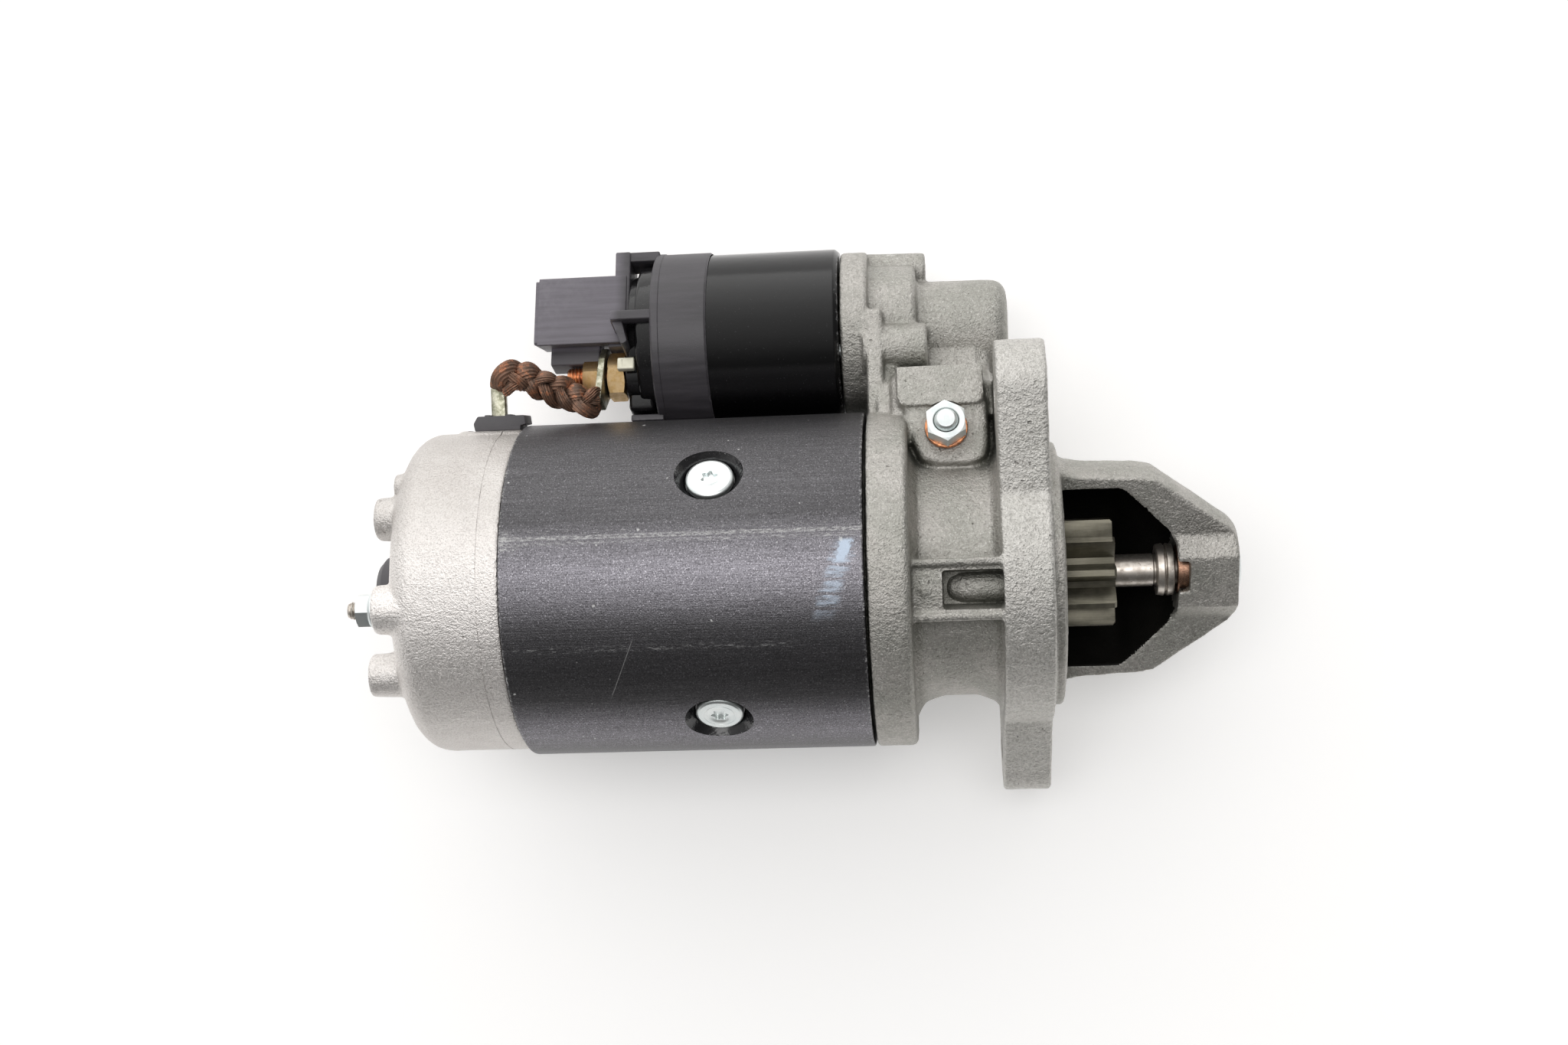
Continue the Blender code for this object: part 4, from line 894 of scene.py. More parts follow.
@material
def cream_insulator(mat):
    mat.base(mat.noise(mm=2.5, rough=0.6), low=(0.66, 0.64, 0.50), high=(0.80, 0.78, 0.66))
    # painted shade in corners and grooves
    mat.tint(mat.hollows(mm=1.5, off=0.8, on=0.1), to=(0.22, 0.18, 0.10), amount=0.6)
    mat.bump((mat.noise(mm=0.5, detail=2.0), 0.03))
    mat.finish(rough=0.42, metal=0.35)


@material
def tinned_copper(mat):
    cloud = mat.noise(mm=2.2, detail=4.0, rough=0.65)
    scratch = mat.noise(mm=0.3, detail=2.0, rough=0.6, stretch=(1.0, 6.0, 1.0), shift=5.0)
    mat.base(mat.ramp(cloud, off=0.36, on=0.66), low=(0.46, 0.45, 0.36), high=(0.2, 0.2, 0.135))
    mat.tint(mat.ramp(scratch, off=0.50, on=0.75), to=(0.70, 0.69, 0.62), amount=0.30)
    # painted shade in corners and grooves
    mat.tint(mat.hollows(mm=1.8, off=0.75, on=0.1), to=(0.08, 0.07, 0.05), amount=0.7)
    mat.bump((cloud, 0.06), (scratch, 0.03))
    mat.finish(rough=mat.spread(cloud, low=0.24, high=0.42), metal=0.9)


# ------------------------------------------------------------------ placing pieces
def piece(name, mesh, slot, node, body="casing", angle=32.0, materials=None):
    """A visible piece: rolled into the world frame, riding on its body, standing for its node.

    It wears the slot's material unless others are named; edges over `angle` are sharp.
    """
    mesh.transform(TO_WORLD)
    mesh.name = name
    obj = bpy.data.objects.new(name, mesh)
    scene.collection.objects.link(obj)
    mesh.materials.clear()
    for key in materials or [slot]:
        mesh.materials.append(MATERIALS[key])
    mesh.shade_smooth()
    if angle < 180:
        mesh.set_sharp_from_angle(angle=math.radians(angle))
    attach(obj, body)
    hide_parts(node)
    return obj


def unroll(vector):
    """The y and z of a world vector in the machine's own directions."""
    return (vector.y * math.cos(TILT) - vector.z * math.sin(TILT),
            vector.y * math.sin(TILT) + vector.z * math.cos(TILT))


def second_material(obj, test):
    """Gives the second material to faces where test(x, radius, inward lean) holds."""
    for poly in obj.data.polygons:
        y, z = (value * 1000 for value in unroll(poly.center))
        normal_y, normal_z = unroll(poly.normal)
        radius = math.hypot(y, z)
        inward = -(normal_y * y + normal_z * z) / max(radius, 1e-6)
        if test(poly.center.x * 1000 + NOSE_END, radius, inward):
            poly.material_index = 1


# ------------------------------------------------------------------ pole housing
def at_pole(mesh, angle):
    """Stands a mesh turned about X on the yoke, pointing outwards at this angle."""
    mesh.transform(Matrix.Rotation(math.radians(90), 4, "Z"))
    mesh.transform(Matrix.Translation((POLE_X, 0, 0)))
    return rolled(mesh, angle)


def seam_offset(r, angle):
    """A shallow groove along the yoke's outside with a bead beside it."""
    if r < 55:
        return 0.0
    away = angle - SEAM_ANGLE
    groove = -0.03 * math.exp(-(away / 0.30) ** 2)
    bead = 0.03 * math.exp(-((away - 0.9) / 0.45) ** 2)
    return groove + bead


def yoke():
    # even 1.5 degree steps, and 0.2 degree steps across the seam
    angles = {round(k * 1.5, 4) for k in range(240)}
    angles |= {round(SEAM_ANGLE - 2.0 + 0.2 * k, 4) for k in range(21)}
    low, high = YOKE_X
    shell = lathe([(low, YOKE_BORE_R), (low, YOKE_R, 0.7), (high, YOKE_R, 0.7),
                   (high, YOKE_BORE_R)], steps=4, angles=sorted(angles), offset=seam_offset)
    # screw hole opening into a flared recess: height from the shaft, radius, corner
    recess = [(47.0, 0), (47.0, 4.7), (51.8, 4.7), (51.8, 8.4, 0.6), (53.6, 8.7, 1.0),
              (55.6, 10.2, 2.0), (57.1, 11.3), (58.6, 12.3), (58.6, 0)]
    return minus(shell, *[at_pole(lathe(recess, 72), angle) for angle in POLE_ANGLES])


def pole_screw(spin):
    head = lathe([(44.6, 0), (44.6, 3.3), (45.3, 4.0), (51.9, 4.0), (52.2, 7.6, 0.4),
                  (54.6, 7.9, 0.9), (55.1, 6.9, 0.6), (55.25, 0)], 72, steps=4)
    star = []
    for k in range(36):
        turn = 10.0 * k
        star.append(polar(2.45 + 0.50 * math.cos(math.radians(6 * turn)), turn))
    socket = prism(star, 53.9, 57.0)
    dish = lathe([(54.95, 0), (54.95, 3.1), (56.5, 6.4), (56.5, 0)], 48)
    head = minus(head, socket, dish)
    # a shallow turned ring round the socket
    head = minus(head, lathe([(55.08, 4.9), (55.08, 5.3), (56.0, 5.3), (56.0, 4.9)], 60))
    return rolled(head, spin)


yoke_obj = piece("yoke_shell", yoke(), "black_painted_steel", "pole_housing",
                 materials=["black_painted_steel", "pooled_black_paint"])
second_material(yoke_obj, lambda x, radius, inward:
                51.2 < radius < 56.96 and abs(x - POLE_X) < 12)

for i, (pole_angle, head_spin) in enumerate(zip(POLE_ANGLES, (23, 61, 10, 77)), 1):
    piece(f"pole_screw_head_{i}", at_pole(pole_screw(head_spin), pole_angle),
          "zinc_plated_steel", f"pole_screw_{i}")


# ------------------------------------------------------------------ rear cover, at the -X end
# Bosses on the end face: angle, x of the top
COVER_FEET = ((70.0, -221.3), (146.0, -225.0), (250.0, -221.3), (326.0, -221.3))


def cover_bosses():
    bosses = [lathe([(-219.3, 0), (-219.3, 8.0, 1.2), (-206.0, 8.4), (-206.0, 0)], 48, centre)
              for centre in BOLT_CENTRES]
    for angle, end in COVER_FEET:
        y, z = polar(42.0, angle)
        bosses.append(lathe([(end, 0), (end, 7.1, 0.8), (-206.0, 7.9), (-206.0, 0)], 48, (y, z)))
        for fan in (-34, 0, 34):
            fin = prism([(end + 3.6, 6.6), (-213.0, 10.6), (-206.0, 12.5), (-206.0, 5.0),
                         (end + 3.6, 5.0)], -0.95, 0.95, "Z")
            fin.transform(Matrix.Translation((0, y, z))
                          @ Matrix.Rotation(math.radians(angle + 180 + fan), 4, "X"))
            bosses.append(fin)
    bosses.append(lathe([(-215.8, 0), (-215.8, 4.4, 1.2), (-206.0, 4.8), (-206.0, 0)], 32,
                        polar(47.6, 58.0)))
    # small raised land under the grommet
    bosses.append(sector(52.5, 55.9, 12.0, 30.0, -199.5, -177.4, 12, 0.5))
    return bosses


def rear_cover():
    corner = [(-205.6 - 8.7 * math.cos(math.radians(9.0 * k)),
               46.4 + 8.7 * math.sin(math.radians(9.0 * k))) for k in range(11)]
    cover = lathe([(-222.3, 0.0), (-222.3, 15.0, 1.2), (-215.2, 16.2, 1.6), (-214.3, 20.0)]
                  + corner + [(-176.7, 55.1, 0.5), (-176.7, 50.6), (-171.5, 50.6),
                              (-171.5, 0.0)], 160, steps=6)
    cover = union(cover, *cover_bosses())
    cover = skin(cast(cover, voxel=0.72, smooth=2), ((5.0, 0.10), (1.5, 0.045)))
    hollow = lathe([(-210.2, 0.0), (-210.2, 43.0, 6), (-205.5, 50.3, 2), (-180.0, 50.3),
                    (-180.0, 47.3), (-170.0, 47.3), (-170.0, 0.0)])
    shaft_hole = lathe([(-224.0, 0), (-224.0, 9.0), (-200.0, 9.0), (-200.0, 0)], 48)
    post_slot = box((-191.4, -183.2), (44.0, 60.0), (-1.9, 1.9), 0.3)
    grommet_seat = box((-197.0, -176.9), (55.3, 62.0), (-5.4, 5.4), 0.0)
    cover = minus(cover, hollow, shaft_hole, rolled(post_slot, GROMMET_ANGLE),
                  rolled(grommet_seat, GROMMET_ANGLE))
    # a fine groove round the outside
    cover = minus(cover, lathe([(-184.1, 54.98), (-184.1, 56.5), (-183.8, 56.5),
                                (-183.8, 54.98)], 160))
    for centre in BOLT_CENTRES:
        cover = minus(cover, drill(centre, -229.0, -165.0, BOLT_HOLE_R))
    return thin_out(cover, 0.7)


def tie_bolt(centre):
    shank = lathe([(-219.0, 0), (-219.0, 2.55), (-60.0, 2.55, 0.3), (-49.2, 2.55, 0.3),
                   (-48.8, 2.2), (-48.8, 0)], 32, centre)
    return union(shank, threads(radius=BOLT_R, x0=-228.2, x1=-218.6, pitch=1.0, depth=0.42,
                                centre=centre, seg=40, tip=1.2))


def tie_bolt_nut(centre, phase):
    hole = BOLT_NUT_HOLE_R
    flange = lathe([(-220.6, hole), (-220.6, 5.6, 0.2), (-219.7, 6.2, 0.2), (-219.45, 6.2),
                    (-219.45, hole)], 48, centre)
    return union(nut(10.0, -224.9, -219.75, centre, phase, hole), flange)


def grommet():
    """A stepped rubber block with a sloping -X end, slotted for the field post."""
    side = [(-193.4, 60.7, 0.8), (-177.0, 60.7, 0.5), (-176.6, 57.6, 0.4), (-178.4, 57.2, 0.3),
            (-178.6, 55.7, 0.3), (-194.4, 55.6, 0.6), (-194.9, 58.2, 1.2)]
    block = prism(rounded(side, 3, True), -5.4, 5.4, "Z", 0.5)
    block = minus(block, box((-189.7, -183.8), (50.0, 64.0), (-1.72, 1.72), 0.0))
    block = union(block, box((-191.4, -189.65), (60.2, 61.2), (-3.4, 3.4), 0.3),
                  box((-183.85, -182.0), (60.2, 61.2), (-3.4, 3.4), 0.3))
    return rolled(block, GROMMET_ANGLE)


piece("rear_cover_casting", rear_cover(), "blasted_aluminium", "commutator_end_cover", angle=38)
dust_cap = lathe([(-231.9, 0.0), (-231.6, 6.0), (-230.4, 10.4), (-228.2, 12.8),
                  (-226.0, 13.4, 1.0), (-222.8, 13.4, 0.3), (-222.8, 11.6), (-227.4, 11.6, 1),
                  (-229.6, 8.0, 1), (-230.2, 0.0)])
piece("rear_dust_cap", dust_cap, "black_rubber", "rear_bearing_cap")
for i, (bolt_centre, bolt_angle) in enumerate(zip(BOLT_CENTRES, BOLT_ANGLES), 1):
    piece(f"tie_bolt_{i}", tie_bolt(bolt_centre), "zinc_plated_steel", f"through_bolt_{i}",
          angle=40, materials=["ground_steel"])
    piece(f"tie_bolt_nut_{i}", tie_bolt_nut(bolt_centre, bolt_angle), "zinc_plated_steel",
          f"through_bolt_nut_{i}", angle=28)
piece("lead_grommet_rubber", grommet(), "black_rubber", "lead_grommet", angle=30)
post = box((-189.4, -184.1), (48.6, 70.6), (-1.5, 1.5), 0.7, 3)
piece("field_post", rolled(post, GROMMET_ANGLE), "tinned_copper", "field_terminal_post")

# ------------------------------------------------------------------ drive housing
EARS = [polar(EAR_PITCH, EAR_ANGLE), polar(EAR_PITCH, EAR_ANGLE + 180)]
# Ribs round the neck: outer radius, start and end angle, arc steps, bevel
NECK_RIBS = (
    (49.6, 99.4, 102.4, 4, 0.9), (48.2, 101.0, 121.5, 14, 0.6), (49.6, 120.2, 123.2, 4, 0.9),
    (46.5, 222.0, 228.0, 4, 0.8), (46.5, 262.0, 268.0, 4, 0.8))
# Raised pad round the pivot bolt: x, y, corner radius
PIVOT_PAD = [(-46.5, 49.0), (-43.8, 36.5, 3), (-41.0, 30.2, 4.5), (-36.5, 28.6, 3),
             (-24.8, 28.2, 4.5), (-19.6, 30.4, 4.5), (-18.6, 36.0, 2), (-18.6, 52.0),
             (-46.8, 52.0)]
# Tile beside the pad, a little prouder: x, y, corner radius
PIVOT_TILE = [(-48.4, 63.0), (-48.4, 48.7, 3.6), (-19.6, 48.7, 3.6), (-19.6, 63.0)]
# Blocks between neck and solenoid: y, z, corner radius
SHARP_BLOCK = [(42.0, -33.0), (61.0, -31.2), (64.5, -27.0), (67.5, -13.4), (82.0, -13.4),
               (82.0, 13.4), (67.5, 13.4), (64.5, 27.0), (61.0, 31.2), (42.0, 33.0)]
SOFT_BLOCK = [(46.0, -32.0), (60.0, -30.0, 5), (64.5, -22.0, 6), (72.0, -12.6, 5),
              (84.0, -12.0), (84.0, 12.0), (72.0, 12.6, 5), (64.5, 22.0, 6), (60.0, 30.0, 5),
              (46.0, 32.0)]
FLANGE_WEB = [(30.0, -27.5), (58.0, -23.5), (70.0, -10.0), (70.0, 10.0), (58.0, 23.5),
              (30.0, 27.5)]
SEAT_WEB = [(46.0, -25.0), (62.0, -27.5, 4), (88.5, -29.3, 2), (88.5, 29.3, 2),
            (62.0, 27.5, 4), (46.0, 25.0)]
INNER_SEAT_WEB = [(40.0, -30.0), (60.0, -27.0), (74.0, -21.0), (74.0, 21.0), (60.0, 27.0),
                  (40.0, 30.0)]
# Bosses of the solenoid screws: radius, shift towards -Y, shift towards +Z
SEAT_BOSSES = ((7.7, 0.8, 0.0), (8.4, 0.4, 1.2), (7.6, 0.0, 0.0))


def ear_outline(centre):
    """A disc round the shaft drawn out to a rounded ear."""
    disc_r = 40.0
    away = Vector(centre)
    aim = math.degrees(math.atan2(away.y, away.x))
    lean = math.degrees(math.acos((disc_r - EAR_TIP_R) / away.length))
    return (arc(EAR_TIP_R, aim - lean, aim + lean, 40, centre)
            + arc(disc_r, aim + lean, aim + 360 - lean, 80))


def neck_parts():
    ribs = [sector(35.0, outer, start, end, -46.4, -15.2, steps, bevel)
            for outer, start, end, steps, bevel in NECK_RIBS]
    wall = sector(34.0, 42.6, 38.0, 104.0, -43.6, -17.6, 40, 1.0)
    # lens-shaped swelling beside the pocket
    lens = lathe([(-46.6, 0), (-45.6, 3.4, 2.0), (-41.5, 6.0, 4.0), (-37.2, 4.2, 2.0),
                  (-36.6, 0)], 40, polar(43.3, 111.4))
    return [
        wall, *ribs[:3], lens, *ribs[3:],
        prism(rounded(PIVOT_PAD), -35.0, 35.0, "Z", 1.6),
        prism(rounded(PIVOT_TILE, 6), 10.0, 36.5, "Z", 0.6),
        prism(SHARP_BLOCK, -50.8, -19.0, bevel=2.6),
        prism(rounded(SOFT_BLOCK), -49.0, -17.0, bevel=1.2),
        prism(FLANGE_WEB, -26.0, -15.0, bevel=0.6),
    ]


def seat_parts():
    """The stepped seat of the solenoid, its webs down to the ring and its screw bosses."""
    parts = [
        lathe([(-67.6, 0.0), (-67.6, 29.6, 1.2), (-58.0, 29.6, 1.6), (-58.0, 0.0)],
              centre=SOLENOID),
        lathe([(-59.5, 0.0), (-59.5, 24.6), (-41.5, 24.2, 2.0), (-40.4, 0.0)], centre=SOLENOID),
        lathe([(-42.0, 0.0), (-42.0, 18.3), (-9.6, 17.9, 6.6), (-9.5, 0.0)], centre=SOLENOID),
        prism(rounded(SEAT_WEB, 4), -58.6, -52.9, bevel=1.0),
        prism(INNER_SEAT_WEB, -55.5, -48.0, bevel=1.0),
    ]
    for (y, z), (radius, drop, lift) in zip(SCREW_CENTRES, SEAT_BOSSES):
        parts.append(lathe([(-60.0, 0), (-60.0, radius + 0.4), (-37.8, radius, 1.2),
                            (-37.8, 0)], 48, (y - drop, z + lift)))
    return parts


def housing_solid():
    body = lathe([(-63.0, 0.0), (-63.0, 50.6, 0.3), (-58.8, 50.6), (-58.8, 57.0, 0.9),
                  (-45.4, 57.0, 2.4), (-45.4, 47.5, 2.5), (-42.6, 42.6, 4.0),
                  (-36.0, 40.4, 5.0), (-25.0, 40.4, 5.0), (-18.8, 42.8, 4.0),
                  (-15.0, 48.0, 1.0), (-10.0, 44.5), (-1.0, 44.5), (-1.0, 0.0)], 160, steps=6)
    nose = lathe([(-3.0, 0.0), (-3.0, 44.5), (2.95, 44.5), (3.65, 43.8), (3.65, 40.2, 0.5),
                  (6.5, 38.8, 1.5), (12.0, 37.8, 4.0), (29.0, 37.2, 4.0), (35.2, 36.2, 4.0),
                  (60.2, 18.0, 1.6), (62.2, 15.4, 0.8), (62.7, 14.2), (62.7, 0.0)], 160, steps=6)
    flange = lathe([(-16.4, 0), (-16.4, 50.0, 0.8), (0.0, 50.0, 0.6), (0.0, 0)], 160)
    ears = [prism(ear_outline(centre), -16.4, 0.0, bevel=0.7) for centre in EARS]
    return union(body, nose, flange, *ears, *neck_parts(), *seat_parts())


def window_cuts():
    """Nose window: a flat cut over both arms, a faceted ridge at the tip, a slot at the bush."""
    flat = 6.0
    wedge = prism([(-60, flat), (60, flat), (60, 60), (-60, 60)], 4.3, 42.5)
    ridge = prism([(-60, flat), (-15.2, flat), (-9.1, 11.0), (9.1, 11.0), (15.2, flat),
                   (60, flat), (60, 60), (-60, 60)], 42.3, 70.0)
    slot = prism([(-3.4, 2.0), (7.8, 2.0), (7.8, 30.0), (-3.4, 30.0)], 41.0, 46.6)
    return [rolled(cut, EAR_ANGLE) for cut in (wedge, ridge, slot)]


def machined_bores():
    def through_pivot(z0, z1, radius, seg):
        return rod((PIVOT_X, PIVOT_Y, z0), (PIVOT_X, PIVOT_Y, z1), radius, seg)

    return [
        lathe([(-64.0, 0.0), (-64.0, 47.0), (-56.0, 47.0), (-56.0, 36.0), (-18.0, 36.0),
               (-15.5, 33.2), (-10.0, 33.2), (-10.0, 0.0)], 128, steps=6),
        lathe([(40.0, 0), (40.0, 8.35), (59.5, 8.35), (59.9, 8.6), (70, 8.6), (70, 0)], 64),
        lathe([(-69.0, 0.0), (-69.0, 17.4), (-42.0, 17.4), (-40.0, 14.6), (-13.4, 14.6, 4),
               (-13.4, 0.0)], 64, SOLENOID),
        # passage from the neck to the solenoid
        box((-44.6, -20.6), (28.0, 88.0), (-8.4, 8.4), 0.0),
        through_pivot(-40, 40, PIVOT_HOLE_R, 40),
        # spot faces under the pivot bolt's head and washer
        through_pivot(35.25, 44.0, 9.4, 56),
        through_pivot(-44.0, -35.25, 9.4, 56),
    ]


def fixing_holes():
    holes = [lathe([(-18.4, 0), (-18.4, EAR_HOLE_R + 2.4), (-15.8, EAR_HOLE_R),
                    (-0.6, EAR_HOLE_R), (2.0, EAR_HOLE_R + 2.4), (2.0, 0)], 64, centre)
             for centre in EARS]
    holes += [drill(centre, -66, -48.2, BOLT_HOLE_R) for centre in BOLT_CENTRES]
    for centre in SCREW_CENTRES:
        holes += [drill(centre, -70, -30, SCREW_HOLE_R), drill(centre, -42.8, -36.6, 4.6, 40)]
    return holes


def drive_housing():
    body = minus(housing_solid(), lathe(
        [(-19.0, 0.0), (-19.0, 33.4), (24.8, 33.4, 5.0), (40.0, 18.0, 4.0), (42.6, 12.8, 1.5),
         (43.6, 7.6), (52.0, 7.6), (52.0, 0.0)], 128, steps=6))
    body = cast(minus(body, *window_cuts()), voxel=0.66, smooth=4)
    # rounded pocket between the ribs, with a cushion in it
    pocket = cast(sector(40.6, 56.0, 103.9, 119.0, -35.6, -16.0, 12, 1.6), voxel=0.45, smooth=10)
    cushion = lathe([(-34.6, 0), (-34.0, 4.2, 3.0), (-29.0, 5.7, 5.0), (-14.0, 5.9),
                     (-14.0, 0)], 40, polar(37.4, 111.6), steps=6)
    body = union(minus(body, pocket), cushion)
    # the cast skin comes before the machined bores, which stay smooth
    body = skin(body, ((7.0, 0.13), (1.9, 0.07), (0.9, 0.03)))
    return thin_out(minus(minus(body, *machined_bores()), *fixing_holes()), 0.45)


housing_obj = piece("housing_casting", drive_housing(), "cast_aluminium", "drive_housing",
                    angle=40, materials=["cast_aluminium", "inner_casting"])
# the inner faces of the nose and neck get the nearly black painted-shade casting
second_material(housing_obj, lambda x, radius, inward:
                radius < 36.3 and inward > 0.35 and x < 46.0)

# ------------------------------------------------------------------ pivot bolt, washer, nut
# Modelled along X, then stood along Z at the pivot.
TO_PIVOT = (Matrix.Translation((PIVOT_X, PIVOT_Y, 0))
            @ Matrix.Rotation(math.radians(-90), 4, "Y"))
pivot_bolt = union(
    lathe([(-36.5, 0), (-36.5, 3.9), (43.3, 3.9, 0.15), (43.9, 3.5), (44.5, 3.5, 0.2),
           (45.1, 2.9, 0.3), (45.15, 0)], 64),
    prism(hexagon(13.0), -41.6, -35.6, bevel=0.4))
pivot_bolt.transform(TO_PIVOT)
piece("pivot_bolt", pivot_bolt, "zinc_plated_steel", "fork_pivot_bolt", angle=40)
washer = lathe([(35.38, 4.4), (35.38, 7.1, 0.4), (36.95, 7.1, 0.4), (36.95, 4.4)], 72)
washer.transform(TO_PIVOT)
piece("copper_washer", washer, "copper", "pivot_washer")
pivot_nut = nut(12.4, 37.1, 43.5, (0, 0), 3, 3.97)
pivot_nut.transform(TO_PIVOT)
piece("pivot_lock_nut", pivot_nut, "zinc_plated_steel", "fork_pivot_nut", angle=28)

# ------------------------------------------------------------------ nose, shaft, pinion, clutch
bush = lathe([(43.0, 5.8), (43.0, 7.9, 0.5), (44.6, 8.2, 0.2), (60.0, 8.2), (60.0, 5.8)], 64)
piece("nose_bush", bush, "sintered_bronze", "front_bushing")
nose_cap = lathe([(60.9, 0.0), (60.9, 8.2), (62.8, 8.2, 0.5), (63.7, 7.0, 0.5),
                  (NOSE_END, 6.0), (NOSE_END, 0.0)], 64)
piece("nose_end_cap", nose_cap, "zinc_plated_steel", "nose_cap")
stop_ring = lathe([(36.3, 5.85), (36.3, 8.6, 0.5), (38.7, 8.9, 0.4), (39.2, 7.9, 0.3),
                   (39.7, 8.9, 0.4), (42.0, 8.6, 0.5), (42.0, 5.85)], 72)
piece("shaft_stop_ring", stop_ring, "ground_steel", "stop_ring", "armature")
shaft = lathe([(-221.0, 0.0), (-221.0, 5.4, 0.4), (-219.6, 6.0), (-206.0, 6.0), (-206.0, 7.0),
               (-188.0, 7.0, 0.3), (-188.0, 9.0), (-157.2, 9.0), (-157.2, 10.0), (-73.0, 10.0),
               (-73.0, 8.5), (-57.0, 8.5), (-57.0, 8.2), (-13.6, 8.2, 0.4), (-13.0, 5.5),
               (35.2, 5.5, 0.15), (35.5, 5.1, 0.15), (36.1, 5.1, 0.15), (36.4, 5.5, 0.15),
               (42.2, 5.5, 0.15), (42.5, 5.2, 0.15), (43.2, 5.2, 0.15), (43.5, 5.5, 0.15),
               (59.5, 5.5, 0.3), (60.2, 4.8), (60.2, 0.0)])
piece("shaft_turned", shaft, "ground_steel", "armature_shaft", "armature")

# Half a tooth from root to tip: radius, degrees from the tooth's middle
TOOTH_FLANK = ((12.7, 13.0), (13.3, 11.9), (14.3, 10.1), (15.4, 8.45), (16.5, 6.75),
               (17.5, 5.15), (18.35, 3.75), (18.75, 3.05))
TEETH = 10


def pinion():
    outline = []
    for k in range(TEETH):
        middle = 360.0 / TEETH * k
        outline += [polar(r, middle - away) for r, away in TOOTH_FLANK]
        outline += [polar(r, middle + away) for r, away in reversed(TOOTH_FLANK)]
        outline.append(polar(12.6, middle + 180.0 / TEETH))
    body = prism(outline, -4.5, 21.9, bevel=0.25)
    # turns the tooth ends to a chamfer
    blank = lathe([(-6.0, 0.0), (-6.0, 18.2), (-4.5, 18.9), (20.9, 18.9), (22.4, 17.6),
                   (22.4, 0.0)], 120)
    body = boolean(body, [blank], "INTERSECT")
    body = union(body, lathe([(-12.4, 0), (-12.4, 11.0, 0.4), (-3.0, 11.0), (-3.0, 0)], 64))
    body = union(body, lathe([(20.0, 0), (20.0, 10.6), (21.9, 10.6, 0.3), (21.9, 0)], 64))
    return minus(body, lathe([(-20, 0), (-20, 5.9), (20.8, 5.9), (22.6, 7.4), (22.6, 0)], 64))


piece("pinion_gear", pinion(), "oiled_steel", "pinion", "drive_pinion", angle=30)
clutch = lathe([(-31.0, 12.0), (-31.0, 25.9, 0.6), (-29.6, 27.0, 0.8), (-22.0, 27.0),
                (-21.6, 26.6), (-20.6, 26.6), (-20.2, 27.0), (-9.4, 27.0, 0.4),
                (-7.0, 25.8, 0.8), (-6.0, 24.6, 0.4), (-6.0, 13.4), (-6.6, 12.9), (-6.6, 11.5),
                (-12.9, 11.5), (-12.9, 8.6), (-48.5, 8.6), (-48.5, 12.0, 0.3)])
piece("clutch_shell", clutch, "oiled_steel", "overrunning_clutch", "clutch")

# ------------------------------------------------------------------ solenoid
STUDS = {"motor": MOTOR_STUD, "battery": BATTERY_STUD}


def solenoid_can():
    can = lathe([(-127.5, 28.8), (-127.5, 31.0, 0.2), (-114.6, 31.15), (-69.6, 31.15, 1.3),
                 (-68.1, 29.9, 0.6), (-68.1, 11.3), (-71.6, 11.3), (-71.6, 28.8)],
                160, SOLENOID, steps=8)
    for centre in SCREW_CENTRES:
        can = minus(can, drill(centre, -73, -66, SCREW_HOLE_R))
    return can


def flange_screw(centre):
    body = lathe([(-71.0, 0), (-71.0, 2.45), (-42.4, 2.45), (-42.4, 4.05, 0.3),
                  (-39.0, 4.05, 0.5), (-38.5, 3.0), (-38.4, 0)], 48, centre)
    socket = [(centre[0] + y, centre[1] + z) for y, z in (polar(2.2, 60 * k) for k in range(6))]
    return minus(body, prism(socket, -40.6, -37.0))


def solenoid_cap():
    cap = lathe([(-125.0, 24.0), (-125.0, 28.3), (-127.9, 28.3), (-127.9, 30.6, 0.4),
                 (-130.9, 30.6, 0.8), (-131.9, 28.5, 0.6), (-139.0, 27.9, 2.4),
                 (-139.3, 24.8, 0.4), (-142.0, 24.2, 0.8), (-142.0, 0.0), (-136.2, 0.0),
                 (-136.2, 24.0)], 128, SOLENOID, steps=7)
    for stud in STUDS.values():
        cap = union(cap, lathe([(-143.7, 0), (-143.7, 8.3, 0.9), (-139.6, 8.4),
                                (-136.9, 8.4), (-136.9, 0)], 64, stud))
    # a raised rib between the stud bosses and a block on the -Y side
    rib = prism(rounded([(-143.2, 78.0, 1.0), (-143.2, 103.0, 1.0), (-137.0, 103.0),
                         (-137.0, 78.0)], 3, True), -1.1, 1.1, "Z", 0.4)
    cap = union(cap, rib, box((-143.2, -134.0), (61.2, 78.0), (-9.0, 11.6), 1.6, 3))
    for stud in STUDS.values():
        cap = minus(cap, drill(stud, -146, -132, STUD_HOLE_R, 40))
    return cap


